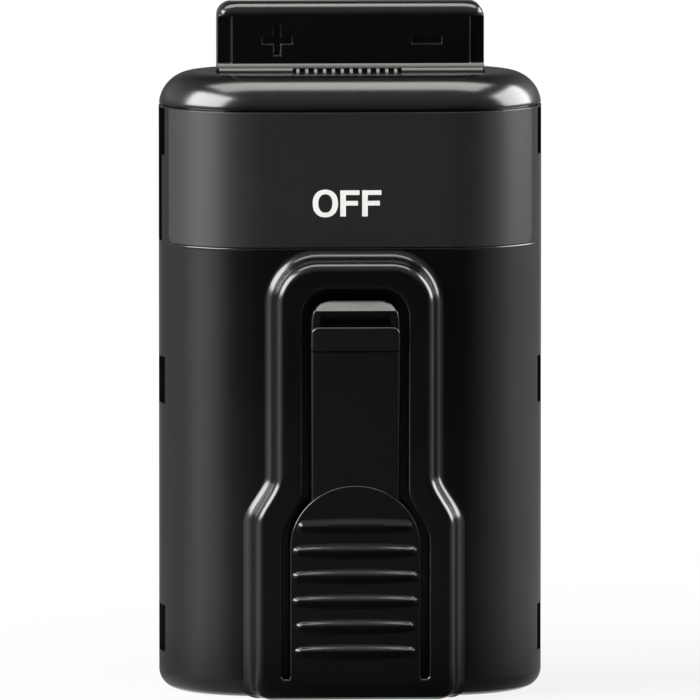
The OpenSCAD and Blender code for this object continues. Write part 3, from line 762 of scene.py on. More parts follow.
        base = self.boss.outline(self.boss_slope, 0.0)
        add(base, self.bury - self.wall_r(base[:, 1]) + self.fall_back(base[:, 0]))
        for out, rise in self.flank(height):
            share = max(0.0, rise / height)
            outline = self.boss.outline(out, self.boss_foot * share ** self.foot_power)
            add(outline, (1 - share) * self.fall_back(outline[:, 0]) - r - rise)
        edge = self.slot_edge
        rim = self.slot.outline(edge, self.slot_foot - edge)
        last = rings[-1][:, [0, 2]]
        for share in np.linspace(0, 1, 5)[1:-1]:
            add(last + (rim - last) * share, self.layout.face_y)
        for turn in np.radians(np.linspace(0, 90, 6)):
            out = edge * (1 - math.sin(turn))
            sunk = edge * (1 - math.cos(turn))
            add(self.slot.outline(out, self.slot_foot - out), self.layout.face_y + sunk)
        wall = self.slot.outline(0.0, self.slot_foot)
        add(wall, -r - self.slit - edge)
        add(wall, -r - self.slit)
        return ring_solid(np.array(rings))

    def label_step(self) -> Solid:
        """The rounded edge of the step under the label: a thin bar carried along the front of the oval."""
        outline = self.step_r * mirrored(arc(0.0, 0.0, 1.0, -81, 81, 9))
        stations = self.layout.half(np.linspace(self.step_start, 90, 40), Half.FRONT)
        radius = self.layout.round_r - self.step_sunk + outline[:, 0]
        return ring_solid(along(stations, radius, self.layout.label_foot - self.step_drop + outline[:, 1]))

    def build(self) -> None:
        """Makes both shells."""
        front = [self.half_shell(Half.FRONT), self.surround(), self.label_step()]
        add_piece("front_housing", front, GLOSS_ABS, self.layout, Body.HOUSING, ("front_shell",))
        add_piece("rear_housing", [self.half_shell(Half.REAR)], GLOSS_ABS, self.layout,
                  Body.HOUSING, ("rear_shell",))


@dataclass(frozen=True)
class Cap:
    """The domed cap, with a row of moulded pips and two low ramps in front of the head."""

    layout: Layout
    dome_r: float = 4.6
    plate_t: float = 2.0
    skirt_r: float = 11.4
    skirt_t: float = 1.2
    skirt_h: float = 2.5
    groove_w: float = 0.3
    groove_depth: float = 0.5
    slot_x: float = 17.5
    slot_front: float = 3.5
    slot_rear: float = 3.0
    edge: float = 0.08
    pip_count: int = 12
    pip_first: float = -6.95
    pip_pitch: float = 1.16
    pip_w: float = 0.4
    pip_profile: tuple[tuple[float, float], ...] = ((0.1, 0.46), (0.59, 0.0))
    ramp_profile: tuple[tuple[float, float], ...] = ((0.03, 0.52), (0.35, 0.22), (0.44, 0.0))
    ramp_back: float = -3.41
    ramp_sunk: float = 0.3
    ramp_spans: tuple[tuple[float, float], ...] = ((-17.2, -7.6), (6.6, 17.2))

    def slot_ring(self, stations: Array, z: float) -> Array:
        """Rectangle of the slot: each station's direction drawn out until it meets a square."""
        middle, out_x, out_y = stations.T
        most = np.maximum(np.abs(out_x), np.abs(out_y))
        depth = np.where(out_y < 0, self.slot_front, self.slot_rear)
        x = middle + (self.slot_x - self.layout.end_x) * out_x / most
        return np.stack([x, depth * out_y / most, np.full(len(x), z)], -1)

    def dome(self) -> Solid:
        """The cap as a closed tube of rings: skirt, seam groove, dome, top plate and slot."""
        layout = self.layout
        r = layout.round_r
        under = layout.cap_z - self.plate_t
        groove_z = layout.seam_z + self.groove_w
        start = math.degrees(math.asin((groove_z - layout.cap_z + self.dome_r) / self.dome_r))
        bead = arc(r - self.dome_r, layout.cap_z - self.dome_r, self.dome_r, start, 90, 16)
        inner = self.skirt_r - self.skirt_t
        foot = layout.seam_z - self.skirt_h
        corners = [(inner, under), (inner, foot), (self.skirt_r, foot), (self.skirt_r, layout.seam_z),
                   (r - self.groove_depth, layout.seam_z), (r - self.groove_depth, groove_z)]
        profile = np.concatenate([corners, bead])
        stations = layout.whole(np.concatenate([np.linspace(0, 84, 22), [90.0]]))
        rings = list(np.moveaxis(along(stations, profile[:, 0], profile[:, 1]), 1, 0))
        top = self.slot_ring(stations, layout.cap_z)
        last = rings[-1]
        rings += [last + (top - last) * share for share in (0.25, 0.5, 0.75, 1.0)]
        below = self.slot_ring(stations, under)
        rings += [below, below + (rings[0] - below) * 0.5]
        return ring_solid(np.array(rings), loop=True, edge=self.edge)

    def ramp(self, start: float, stop: float, profile: tuple[tuple[float, float], ...]) -> Solid:
        """A low ramp across the cap, in front of the head's base.

        Args:
            start: Its left end.
            stop: Its right end.
            profile: Its front from the top down, as distances from the base and heights over the cap.

        Returns:
            The closed skin.
        """
        reach, rise = np.array(profile[::-1]).T
        zs = self.layout.cap_z + np.array([-self.ramp_sunk, *rise])
        return bar(start, stop, self.ramp_back, self.ramp_back - np.array([reach[0], *reach]), zs)

    def trim(self) -> list[Solid]:
        """The row of pips, and the two ramps along the head on either side of it."""
        starts = self.pip_first + self.pip_pitch * np.arange(self.pip_count) - self.pip_w / 2
        pips = [self.ramp(x, x + self.pip_w, self.pip_profile) for x in starts]
        return pips + [self.ramp(*span, self.ramp_profile) for span in self.ramp_spans]

    def build(self) -> None:
        """Makes the cap with its trim."""
        add_piece("cap", [self.dome(), *self.trim()], GLOSS_ABS, self.layout, Body.HOUSING, ("top_cap",))


@dataclass(frozen=True)
class Head:
    """The upright terminal head, with rebated ends, sunk polarity signs and contact windows."""

    layout: Layout
    half_w: float = 17.4
    half_d: float = 2.9
    corner_r: float = 2.0
    top_r: float = 1.6
    end_r: float = 1.2
    end_fade: float = 0.5
    end_lines: tuple[float, ...] = (0.8, 0.25, 0.0)
    middle_x: float = 2.0
    base_h: float = 1.1
    base_reach: float = 0.5
    lip_profile: tuple[tuple[float, float], ...] = ((0.03, 0.0), (0.25, 0.23), (0.5, 0.55))
    rebate_w: float = 1.8
    rebate_depth: float = 0.6
    rebate_row: float = 0.2
    panel_bevel: float = 0.16
    panel_fall: float = 0.13
    sign_depth: float = 0.45
    sign_z: float = 85.0
    sign_reach: float = 1.97
    sign_arm: float = 0.45
    plus_x: float = -9.6
    minus_x: float = 9.9
    contact_x: float = 10.0
    window_half: float = 3.1
    window_sill: float = 0.8
    window_lintel: float = 1.6
    window_y: float = 1.45
    flange: float = 1.6
    flange_t: float = 1.4
    contact_edge: float = 0.1
    edge: float = 0.1

    def lines(self) -> tuple[Array, Array, Array]:
        """Lines of the block of cells across, in depth and in height."""
        layout = self.layout
        reach, arm, window = self.sign_reach, self.sign_arm, self.window_half
        ends = self.half_w - np.array([self.rebate_w + self.panel_bevel, self.rebate_w, *self.end_lines])
        xs = [*-ends, -self.middle_x, self.middle_x, *ends]
        xs += [side * self.contact_x + half for side in (-1, 1) for half in (-window, window)]
        xs += [self.plus_x - reach, self.plus_x - arm, self.plus_x + arm, self.plus_x + reach]
        xs += [self.minus_x - reach, self.minus_x + reach]
        ys = np.array([0.0, self.sign_depth, self.rebate_depth, self.half_d + self.window_y, 2 * self.half_d])
        base = layout.cap_z + self.base_h
        crown_turns = np.radians([18, 26, 34, 42, 50, 58, 66, 74, 82, 90])
        crown = layout.head_z - self.corner_r + self.corner_r * np.sin(crown_turns)
        signs = self.sign_z + np.array([-reach, -arm, arm, reach])
        rebate_top = layout.head_z - self.rebate_w
        rebate = [base, base + self.rebate_row, rebate_top - self.rebate_row, rebate_top]
        foot = [layout.head_foot, layout.cap_z, layout.cap_z + self.window_sill]
        zs = np.concatenate([foot, rebate, signs, [layout.head_z - self.window_lintel], crown])
        return np.sort(xs), ys - self.half_d, np.unique(zs)

    def body(self) -> Solid:
        """The head as a block of cells whose rows draw in at the top by two quarter circles."""
        layout = self.layout
        xs, ys, zs = self.lines()
        base, rebate_top = layout.cap_z + self.base_h, layout.head_z - self.rebate_w
        panel_x = self.half_w - self.rebate_w
        points = block(xs, ys, zs)
        edge = np.isclose(np.abs(xs), panel_x)[:, None] & ((zs > base) & (zs < rebate_top))[None, :]
        points[:, 0, :, 1] += self.panel_fall * edge
        upper = ease((zs - rebate_top) / self.end_fade)
        ends = edge_drop(self.half_w - np.abs(xs), self.end_r)[:, None] * upper
        points[:, :3, :, 1] += ends[:, None]
        below = layout.head_z - zs
        points[..., 0] *= 1 - edge_drop(below, self.corner_r) / self.half_w
        points[..., 1] *= 1 - edge_drop(below, self.top_r) / self.half_d
        x, z = centres(xs)[:, None], centres(zs)[None, :]
        filled = all_cells(points)
        rebate = (np.abs(x) > panel_x) & (z > base) & (z < rebate_top)
        rise = np.abs(z - self.sign_z)
        beside = np.minimum(np.abs(x - self.plus_x), np.abs(x - self.minus_x))
        bar = (rise < self.sign_arm) & (beside < self.sign_reach)
        post = (rise < self.sign_reach) & (np.abs(x - self.plus_x) < self.sign_arm)
        filled[:, 0] = ~(rebate | bar | post)
        filled[:, 1] = ~rebate
        window = np.abs(np.abs(x) - self.contact_x) < self.window_half
        open_z = (z > layout.cap_z + self.window_sill) & (z < layout.head_z - self.window_lintel)
        filled[:, 3] = ~(window & open_z)
        return cell_solid(points, filled, self.edge)

    def lip(self) -> Solid:
        """The lip along the foot of the front: upright below, then two slopes back to the panel."""
        reach, drop = np.array(self.lip_profile[::-1]).T
        zs = np.array([self.layout.head_foot, *(self.layout.cap_z + self.base_h - drop)])
        front = -self.half_d - np.array([self.base_reach, *reach])
        return bar(-self.half_w, self.half_w, self.base_reach - self.half_d, front, zs)

    def collar(self) -> Solid:
        """The flange under the cap that keeps the head in its slot."""
        half_x = self.half_w + self.flange
        ys = np.array([-self.half_d - self.base_reach - self.flange, self.half_d + self.flange])
        zs = self.layout.head_foot + np.array([0.0, self.flange_t])
        return cell_solid(block(np.array([-half_x, half_x]), ys, zs), edge=self.edge)

    def build(self) -> None:
        """Makes the head and dresses the contact blades."""
        solids = [self.body(), self.lip(), self.collar()]
        add_piece("terminal_head", solids, GLOSS_ABS, self.layout, Body.HOUSING, ("terminal_block",))
        for name in ("contact_positive", "contact_negative"):
            dress_node(name, NICKEL, self.contact_edge)


@dataclass(frozen=True)
class Latch:
    """The sprung tongue: neck, catch plate, hook and the ribbed finger pad."""

    layout: Layout
    neck_half: float = 5.8
    neck_rows: tuple[float, ...] = (24.0, 35.0)
    middle_x: float = 1.5
    layer_gap: float = 0.02
    slack: float = 0.01
    pad_half: float = 8.5
    back_y: float = -15.5
    neck_sunk: float = 0.5
    plate_rise: float = 0.25
    plate_h: float = 3.0
    plate_r: float = 1.0
    plate_edge: float = 0.35
    plate_tilt: float = 0.4
    plate_lift: float = 0.35
    side_r: float = 0.4
    tip_w: float = 1.9
    tip_h: float = 3.0
    tip_slope: float = 1.25
    lean: float = 1.1
    lean_z: float = 26.0
    hook_h: float = 1.25
    catch_h: float = 2.45
    catch_half: float = 4.6
    catch_depth: float = 1.7
    catch_ceiling: float = 0.9
    channel_depth: float = 0.4
    arch_foot: float = 20.2
    arch_top: float = 28.2
    pad_sunk: float = 0.1
    pad_edge: float = 0.25
    pad_foot: float = 2.98
    fade: float = 5.0
    skin_h: float = 0.6
    skin_t: float = 0.05
    skin_rise: float = 0.004
    rib_h: float = 0.5
    rib_first: float = 6.62
    rib_pitch: float = 3.28
    rib_halves: tuple[float, ...] = (8.05, 7.9, 8.35, 8.35, 8.3, 7.75)
    rib_upper: float = 0.95
    rib_lower: float = 1.25
    rib_tip: float = 1.0
    rib_taper: float = 0.4

    @property
    def plate_y(self) -> float:
        """Depth of the catch plate and of the hook."""
        return self.layout.face_y + self.neck_sunk - self.plate_rise

    @property
    def hook_z(self) -> float:
        """Height of the underside of the hook."""
        return self.layout.tip_z - self.hook_h

    @property
    def catch_z(self) -> float:
        """Height of the lower edge of the catch pocket."""
        return self.hook_z - self.catch_h

    def lean_out(self, z: Array) -> Array:
        """How far the tongue leans out of the slot at a height: evenly from the arch to the tip."""
        return self.lean * np.clip((z - self.lean_z) / (self.layout.tip_z - self.lean_z), 0, 1)

    def neck(self) -> Solid:
        """The neck as a block of cells: the pocket is left out, and the hook slopes back to the tip.

        The back of the pocket leans forward towards its ceiling, so that it stays in the dark.
        """
        tip, half = self.layout.tip_z, self.neck_half
        side = self.side_r * (1 - np.cos(np.radians([0, 30, 60, 90])))
        right = np.array([*(half - side), self.catch_half, self.middle_x])
        xs = np.sort([*right, *-right])
        channel = self.plate_y + self.channel_depth
        ys = np.array([self.back_y - self.slack, self.plate_y + self.catch_depth, channel,
                       self.plate_y + self.plate_rise, self.plate_y])
        crown = tip - self.tip_h + self.tip_h * np.sin(np.radians([10, 25, 34, 45, 58, 72, 90]))
        shoulder = self.catch_z - self.plate_r
        zs = np.sort([*self.neck_rows, shoulder, self.catch_z, self.hook_z, *crown])
        points = block(xs, ys, zs)
        points[..., 0] *= 1 - edge_drop((tip - zs) * self.tip_w / self.tip_h, self.tip_w) / half
        slope = self.plate_y + self.tip_slope * np.clip((zs - self.hook_z) / self.hook_h, 0, 1)
        behind = self.layer_gap * np.arange(len(ys))[::-1]
        points[..., 1] = np.maximum(points[..., 1], slope + behind[:, None])
        pocket = (zs > self.catch_z - self.slack) & (zs < self.hook_z + self.slack)
        share = (zs - self.catch_z) / self.catch_h
        deep = self.catch_depth + (self.catch_ceiling - self.catch_depth) * share
        points[:, 1, pocket, 1] = self.plate_y + deep[pocket]
        points[:, 1:, :, 1] += edge_drop(half - np.abs(xs), self.side_r)[:, None, None]
        points[..., 1] -= self.lean_out(zs)
        x, z = centres(xs)[:, None], centres(zs)[None, :]
        filled = all_cells(points)
        hook = z > self.hook_z
        filled[:, 1] = ~((np.abs(x) < self.catch_half) & (z > self.catch_z) & ~hook)
        filled[:, 2] = hook | (z < shoulder)
        filled[:, 3] = hook
        return cell_solid(points, filled)

    def plate(self) -> Solid:
        """The catch plate: rows across an outline with two upper round corners, rounded towards it."""
        r, half, top = self.plate_r, self.neck_half, self.catch_z + self.plate_lift
        foot = self.catch_z - self.plate_h
        corner = top - r + r * np.sin(np.radians(np.linspace(0, 90, 16)))
        zs = np.concatenate([[foot, foot + self.plate_rise, foot + r], corner])
        x = np.sin(np.linspace(-np.pi / 2, np.pi / 2, 41))[:, None] * (half - edge_drop(top - zs, r))
        z = np.broadcast_to(zs, x.shape)
        past = np.hypot(np.clip(np.abs(x) - half + r, 0, None), np.clip(z - top + r, 0, None))
        plane = self.plate_y - self.lean_out(z) - self.plate_tilt * (z - foot) / self.plate_h
        front = plane + edge_drop(r - past, self.plate_edge)
        front[:, 0] += self.plate_rise
        return slab(x, plane + 2 * self.channel_depth, front, z)

    def ribs(self, x: Array, z: Array) -> Array:
        """Height of the grip ribs over the pad.

        Each rib falls from its crest by a squared cosine, sooner above than below and all round its
        ends, and it narrows towards them by the square of the distance.
        """
        total = np.zeros_like(x)
        for i, half in enumerate(self.rib_halves):
            above = z - (self.rib_first + i * self.rib_pitch)
            taper = np.clip(1 - self.rib_taper * (x / half) ** 2, self.rib_taper, 1)
            past = np.clip(np.abs(x) - half + self.rib_tip, 0, None) / self.rib_tip
            flank = np.hypot(above / (taper * np.where(above > 0, self.rib_upper, self.rib_lower)), past)
            total = np.maximum(total, self.rib_h * np.cos(np.clip(flank, 0, 1) * np.pi / 2) ** 2)
        return total

    def pad(self) -> Solid:
        """The finger pad: rows across an outline with straight sides under an elliptic arch.

        The front of each point is the pad's plane, rounded towards the outline, with the ribs on it. At
        the foot it runs on flush over the end of the slot as a thin skin, as the root is one with the face.
        """
        arch_h = self.arch_top - self.arch_foot
        turn = np.radians(np.linspace(0, 87.5, 40))
        straight = np.linspace(self.pad_foot - self.skin_h, self.arch_foot, 330)[:-1]
        zs = np.concatenate([straight, self.arch_foot + arch_h * np.sin(turn)])
        width = self.pad_half * np.concatenate([np.ones(len(straight)), np.cos(turn)])
        share = np.sin(np.linspace(-np.pi / 2, np.pi / 2, 75))
        x = share[:, None] * width
        z = np.broadcast_to(zs, x.shape)
        above = np.clip(z - self.arch_foot, 0, None) / arch_h
        inside = 1 - np.sqrt((x / self.pad_half) ** 2 + above ** 2)
        distance = np.clip(inside * self.pad_half, 0, None)
        raised = ease((z - self.pad_foot) / self.fade)
        plane = self.layout.face_y - self.skin_rise + self.pad_sunk * raised
        rounding = edge_drop(distance, self.pad_edge) * ease((z - self.pad_foot) / self.pad_edge)
        front = plane + rounding - self.ribs(x, z) * ease(distance / self.pad_edge)
        back = np.where(z < self.pad_foot, front + self.skin_t, self.back_y)
        return slab(x, back, front, z)

    def build(self) -> None:
        """Makes the latch."""
        solids = [self.neck(), self.plate(), self.pad()]
        add_piece("latch_tongue", solids, WORN_ABS, self.layout, Body.LATCH, ("latch",))


@dataclass(frozen=True)
class Label:
    """The satin film round the upper front, with its printed word."""

    layout: Layout
    glue: float = 0.02
    film_t: float = 0.12
    left: float = 25.0
    right: float = 29.0
    corner_r: float = 1.0
    edge: float = 0.03
    rows: tuple[float, ...] = (65.0, 70.0)
    ink_t: float = 0.015
    cap_h: float = 3.4
    base_z: float = 62.92
    ring_x: float = -3.75
    ring_half: tuple[float, float] = (1.65, 1.8)
    ring_hole: tuple[float, float] = (0.91, 1.2)
    ring_power: float = 0.9
    bar_x: tuple[float, float] = (-1.81, 1.03)
    stem: float = 0.73
    bar_w: float = 2.5
    bar_t: float = 0.61
    middle_w: float = 2.3
    middle_z: float = 1.42

    def film(self) -> Solid:
        """The film as a thin bent block, whose rows draw in at the two lower corners."""
        layout = self.layout
        corner = layout.label_foot + self.corner_r * (1 - np.cos(np.radians(np.linspace(0, 90, 8))))
        zs = np.array([*corner, *self.rows, layout.label_top])
        drawn = edge_drop(zs - layout.label_foot, self.corner_r) / layout.round_r
        share = np.linspace(0, 1, 25)
        rows = []
        for z, inset in zip(zs, np.degrees(drawn)):
            left = self.left + inset + (90 - self.left - inset) * share
            right = self.right + inset + (90 - self.right - inset) * share
            ends = layout.half(left, Half.FRONT), layout.half(right, Half.FRONT)
            stations = np.concatenate([ends[0][:-len(share)], ends[1][-len(share):]])
            radius = layout.round_r + self.glue + np.array([0.0, self.film_t])
            rows.append(along(stations, radius, np.full(2, z)))
        return cell_solid(np.stack(rows, 1), edge=self.edge)

    def ink_depths(self) -> Array:
        """Back and front of the print."""
        front = -self.layout.round_r - self.glue - self.film_t
        return np.array([front + self.ink_t, front - self.ink_t])

    def round_letter(self) -> Solid:
        """The letter O: the ring between two ovals, a little squarer than ellipses."""
        turn = np.linspace(0, 2 * np.pi, 73)[:-1]
        way = np.stack([np.cos(turn), np.sin(turn)], -1)
        way = np.sign(way) * np.abs(way) ** self.ring_power
        back, front = self.ink_depths()
        middle = self.base_z + self.cap_h / 2
        outer, hole = self.ring_half, self.ring_hole
        rings = []
        for half, y in ((outer, front), (outer, back), (hole, back), (hole, front)):
            x = self.ring_x + half[0] * way[:, 0]
            rings.append(np.stack([x, np.full(len(way), y), middle + half[1] * way[:, 1]], -1))
        return ring_solid(np.array(rings), loop=True)

    def bar_letter(self, x: float) -> Solid:
        """The letter F: a stem with two bars, as cells of a thin block."""
        xs = x + np.array([0.0, self.stem, self.middle_w, self.bar_w])
        middle = self.middle_z + np.array([0.0, self.bar_t])
        zs = self.base_z + np.array([0.0, *middle, self.cap_h - self.bar_t, self.cap_h])
        filled = np.zeros((3, 1, 4), bool)
        filled[0] = True
        filled[1, 0, 1] = True
        filled[:, 0, 3] = True
        return cell_solid(block(xs, self.ink_depths(), zs), filled)

    def build(self) -> None:
        """Makes the film and its print."""
        add_piece("label_film", [self.film()], DARK_FILM, self.layout, Body.HOUSING, ("label",))
        letters = [self.round_letter(), *(self.bar_letter(x) for x in self.bar_x)]
        add_piece("label_print", letters, WHITE_INK, self.layout, Body.HOUSING)


@dataclass(frozen=True)
class Inside:
    """The pieces inside the housing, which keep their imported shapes."""

    finishes: tuple[tuple[Finish, tuple[str, ...]], ...] = (
        (FOAM, ("foam_pad",)),
        (CRADLE, ("lower_cradle", "upper_cradle")),
        (CAN, ("cell_left", "cell_right")),
        (SLEEVE, ("sleeve_left", "sleeve_right")),
        (PAPER, ("washer_left", "washer_right")),
        (NICKEL, ("series_strip", "positive_strip", "negative_strip")),
        (JACKET, ("balance_lead",)),
        (BEAD, ("thermistor",)),
        (BOARD, ("protection_board",)),
        (CHIP, ("switch_chips", "control_chip", "shunt_resistor")),
    )

    def build(self) -> None:
        """Dresses every inner node."""
        for finish, names in self.finishes:
            for name in names:
                dress_node(name, finish)


# Studio

@dataclass(frozen=True)
class Lamp:
    """A soft box: its direction from the pack in degrees, its distance and size in metres and its power.

    A card only shows in reflections, and leaves the light level to the key and the fill.
    """

    name: str
    azimuth: float
    elevation: float
    distance: float
    width: float
    height: float
    power: float
    colour: str = "#ffffff"
    card: bool = False

    def build(self, target: Vector) -> None:
        """Makes the lamp and aims it at the target."""
        light = bpy.data.lights.new(self.name, "AREA")
        light.shape = "RECTANGLE"
        light.size = self.width
        light.size_y = self.height
        light.energy = self.power
        light.color = linear(self.colour)[:3]
        lamp = bpy.data.objects.new(self.name, light)
        lamp.visible_diffuse = not self.card
        bpy.context.scene.collection.objects.link(lamp)
        aim(lamp, target, self.azimuth, self.elevation, self.distance)


def aim(thing: bpy.types.Object, target: Vector, azimuth: float, elevation: float, distance: float) -> None:
    """Puts a lamp or camera at a direction and distance from the target and turns it there.

    Args:
        thing: The lamp or camera.
        target: The point that it looks at, in metres.
        azimuth: Degrees to the right of the front.
        elevation: Degrees above the horizon.
        distance: Distance in metres.
    """
    turn, rise = math.radians(azimuth), math.radians(elevation)
    out = Vector((math.sin(turn) * math.cos(rise), -math.cos(turn) * math.cos(rise), math.sin(rise)))
    thing.location = target + out * distance
    thing.rotation_euler = (-out).to_track_quat("-Z", "Y").to_euler()


@dataclass(frozen=True)
class Tent:
    """A glowing tent that only reflections see, whose tones paint the reflections: a ring of floor round the
    pack and a dome over it.

    Each tone is a pair of an angle in degrees and a brightness. Those of the floor go round from behind
    the pack over its left, the camera's side and its right, and those of the dome rise to the top.
    """

    near: float = 0.012
    far: float = 1.2
    lift: float = 0.0005
    floor_tones: tuple[tuple[float, float], ...] = (
        (-180, 0.28), (-145, 0.2), (-98, 0.62), (-75, 1.35), (-56, 0.92), (-38, 0.36), (-15, 0.2),
        (0, 0.13), (28, 0.1), (50, 0.27), (72, 0.5), (90, 0.7), (112, 0.6), (145, 0.28), (180, 0.28))
    front_tones: tuple[tuple[float, float], ...] = (
        (0, 0.03), (10, 0.08), (20, 0.2), (40, 0.45), (60, 0.5), (90, 0.2))
    rear_tones: tuple[tuple[float, float], ...] = ((5, 0.3), (16, 0.8), (36, 0.42), (56, 0.12), (90, 0.15))
    rear_side: tuple[float, float] = (132.0, 164.0)
    rear_share: float = 0.2
    side: tuple[float, float] = (70.0, 100.0)
    front_side: tuple[float, float] = (25.0, 60.0)
    far_front: tuple[float, float] = (0.24, 0.44)
    far_share: float = 0.12
    # Close to the pack the ring's tones are dimmed, in front and at the sides: painted shadow in the
    # reflections.
    painted_shadow_reach: tuple[float, float] = (0.03, 0.11)
    painted_shadow_front: float = 0.2
    painted_shadow_side: float = 0.45
    horizon: float = 12.0

    def points(self) -> tuple[Array, Array]:
        """Points of the tent and their tones.

        Returns:
            Points of shape (around, along, 3), from the near edge of the ring to the top, and the tones.
        """
        around = np.linspace(-180, 180, 145)[:, None]
        reach = np.concatenate([[self.near], np.linspace(0.025, 0.5, 20), np.linspace(0.6, self.far, 6)])
        rise = np.linspace(0, 90, 31)[1:]
        turn, lift = np.radians(around), np.radians(rise)
        out = np.concatenate([reach, self.far * np.cos(lift)])
        up = np.concatenate([np.full(len(reach), self.lift), self.far * np.sin(lift)])
        points = np.stack([out * np.sin(turn), -out * np.cos(turn), up + 0 * turn], -1)
        floor = np.interp(around, *zip(*self.floor_tones))
        front = 1 - ease(np.interp(np.abs(around), self.side, (0, 1)))
        fading = 1 - ease(np.interp(np.abs(around), self.front_side, (0, 1)))
        fade = 1 - (1 - self.far_share) * fading * ease(np.interp(reach, self.far_front, (0, 1)))
        # Dimmed close to the pack: painted shadow in the reflections.
        near = self.painted_shadow_side + (self.painted_shadow_front - self.painted_shadow_side) * fading
        fade = fade * (1 - (1 - near) * ease(np.interp(reach, self.painted_shadow_reach, (1, 0))))
        ahead, behind = (np.interp(rise, *zip(*tones)) for tones in (self.front_tones, self.rear_tones))
        behind = behind * np.interp(np.abs(around), self.rear_side, (1, self.rear_share))
        dome = behind + (ahead - behind) * front
        dome = floor * fade[:, -1:] + (dome - floor * fade[:, -1:]) * ease(rise / self.horizon)
        return points, np.concatenate([floor * fade, dome], 1)


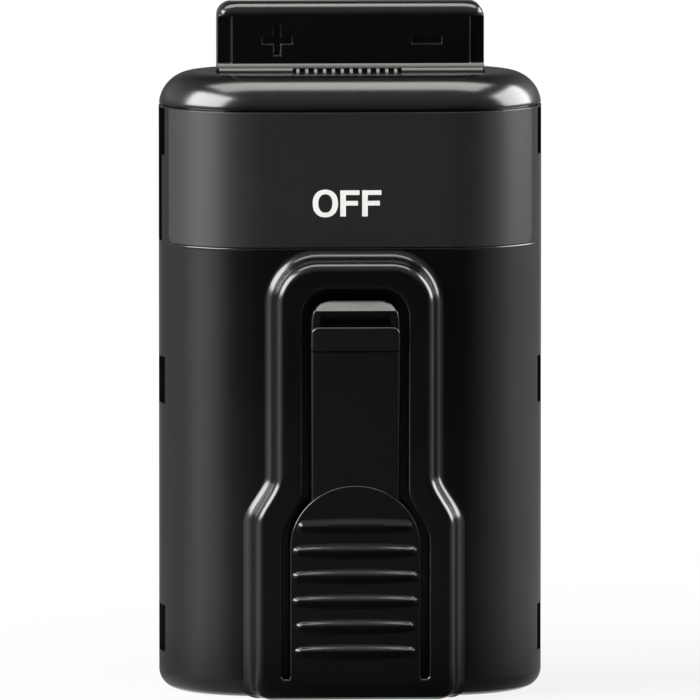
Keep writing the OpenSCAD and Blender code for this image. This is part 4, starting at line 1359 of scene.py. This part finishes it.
@dataclass(frozen=True)
class Studio:
    """Pale floor, white surroundings, the tent for the reflections, soft boxes and the camera."""

    target: tuple[float, float, float] = (0.0, 0.0023, 0.0442)
    azimuth: float = -2.3
    elevation: float = 5.48
    distance: float = 2.009
    lens: float = 790.0
    clip_end: float = 20.0
    floor_half: float = 3.0
    floor: str = "#f2f2f0"
    floor_glow: tuple[float, float] = (0.88, 1.0)
    glow_reach: tuple[float, float] = (0.04, 0.3)
    floor_share: float = 0.07
    fill: float = 0.13
    tent: Tent = Tent()
    lamps: tuple[Lamp, ...] = (
        Lamp("top_box", 0.0, 92.5, 0.75, 0.9, 0.44, 8.6, "#fffcf7", card=True),
        Lamp("left_key", -73.0, 30.0, 0.8, 0.68, 0.52, 17.0),
        Lamp("right_box", 101.0, 24.0, 0.8, 0.7, 0.54, 13.0, card=True),
    )

    def sheet(self, name: str, points: Array, material: bpy.types.Material) -> bpy.types.Object:
        """A stage surface over a grid of points."""
        rows, columns = points.shape[:2]
        index = np.arange(rows * columns).reshape(rows, columns)
        quads = np.stack([index[:-1, :-1], index[1:, :-1], index[1:, 1:], index[:-1, 1:]], -1).reshape(-1, 4)
        mesh = bpy.data.meshes.new(name)
        mesh.from_pydata(points.reshape(-1, 3).tolist(), [], quads.tolist())
        mesh.materials.append(material)
        made = bpy.data.objects.new(name, mesh)
        bpy.context.scene.collection.objects.link(made)
        return made

    def shaded(self, name: str) -> tuple[bpy.types.Material, Tree]:
        """An empty material and its tree."""
        material = bpy.data.materials.new(name)
        material.use_nodes = True
        material.node_tree.nodes.clear()
        return material, material.node_tree

    def seen(self, tree: Tree) -> Socket:
        """One for rays from the camera and for reflected and refracted ones, else nought."""
        path = add_node(tree, "ShaderNodeLightPath").outputs
        both = add_node(tree, "ShaderNodeMath", None, {0: path["Is Camera Ray"], 1: path["Is Glossy Ray"]},
                        operation="MAXIMUM").outputs[0]
        return add_node(tree, "ShaderNodeMath", None, {0: both, 1: path["Is Transmission Ray"]},
                        operation="MAXIMUM").outputs[0]

    def build_floor(self) -> None:
        """A pale matt floor that glows to the eye, more so farther off, so that it keeps the shadow."""
        material, tree = self.shaded("studio_floor_painted")
        paint = add_node(tree, "ShaderNodeBsdfDiffuse", {"Color": linear(self.floor)})
        share = self.floor_share
        dim = add_node(tree, "ShaderNodeBsdfDiffuse", {"Color": (share, share, share, 1.0)})
        place = add_node(tree, "ShaderNodeTexCoord").outputs["Object"]
        reach = add_node(tree, "ShaderNodeVectorMath", None, {0: place}, operation="LENGTH").outputs["Value"]
        level = add_node(tree, "ShaderNodeMapRange",
                         {"From Min": self.glow_reach[0], "From Max": self.glow_reach[1],
                          "To Min": self.floor_glow[0], "To Max": self.floor_glow[1]}, {"Value": reach})
        glow = add_node(tree, "ShaderNodeEmission", None, {"Strength": level.outputs[0]})
        bright = add_node(tree, "ShaderNodeAddShader", None, {0: dim.outputs[0], 1: glow.outputs[0]})
        mix = add_node(tree, "ShaderNodeMixShader", None,
                       {0: self.seen(tree), 1: paint.outputs[0], 2: bright.outputs[0]})
        add_node(tree, "ShaderNodeOutputMaterial", links={"Surface": mix.outputs[0]})
        ends = np.linspace(-self.floor_half, self.floor_half, 3)
        self.sheet("floor", block(ends, ends, np.zeros(1))[:, :, 0], material)

    def build_tent(self) -> None:
        """The tent, kept out of the camera's sight and out of the light."""
        material, tree = self.shaded("tent_glow_painted_reflections")
        tone = add_node(tree, "ShaderNodeAttribute", attribute_name="tone").outputs["Fac"]
        # The tent glows by its tone: painted reflections, not a cloth lit by the lamps.
        cloth = add_node(tree, "ShaderNodeEmission", None, {"Strength": tone})
        add_node(tree, "ShaderNodeOutputMaterial", links={"Surface": cloth.outputs[0]})
        material.cycles.emission_sampling = "NONE"
        points, tones = self.tent.points()
        made = self.sheet("tent", points, material)
        made.data.attributes.new("tone", "FLOAT", "POINT").data.foreach_set("value", tones.ravel())
        made.visible_camera = False
        made.visible_diffuse = False
        made.visible_shadow = False
        made.visible_transmission = False

    def build_world(self) -> None:
        """White to the eye and in reflections, a plain grey fill for the rest."""
        world = bpy.data.worlds.new("studio_white")
        bpy.context.scene.world = world
        world.use_nodes = True
        tree = world.node_tree
        tree.nodes.clear()
        white = (1.0, 1.0, 1.0, 1.0)
        fill = add_node(tree, "ShaderNodeBackground", {"Color": white, "Strength": self.fill})
        shown = add_node(tree, "ShaderNodeBackground", {"Color": white, "Strength": 1.0})
        mix = add_node(tree, "ShaderNodeMixShader", None,
                       {0: self.seen(tree), 1: fill.outputs[0], 2: shown.outputs[0]})
        add_node(tree, "ShaderNodeOutputWorld", links={"Surface": mix.outputs[0]})

    def build(self) -> None:
        """Sets the stage, the light and the camera."""
        scene = bpy.context.scene
        scene.view_settings.view_transform = "Standard"
        target = Vector(self.target)
        self.build_world()
        self.build_floor()
        self.build_tent()
        for lamp in self.lamps:
            lamp.build(target)
        lens = bpy.data.cameras.new("camera")
        lens.lens = self.lens
        lens.clip_end = self.clip_end
        camera = bpy.data.objects.new("camera", lens)
        scene.collection.objects.link(camera)
        aim(camera, target, self.azimuth, self.elevation, self.distance)
        scene.camera = camera
        LOG.info("studio: %d lamps", len(self.lamps))


def main() -> None:
    """Builds the pack from the outside in, then the studio."""
    logging.basicConfig(level=logging.INFO, format="%(message)s")
    layout = Layout.from_frame()
    for part in (Shells(layout), Cap(layout), Head(layout), Latch(layout), Label(layout), Inside(), Studio()):
        part.build()


if __name__ == "__main__":
    main()
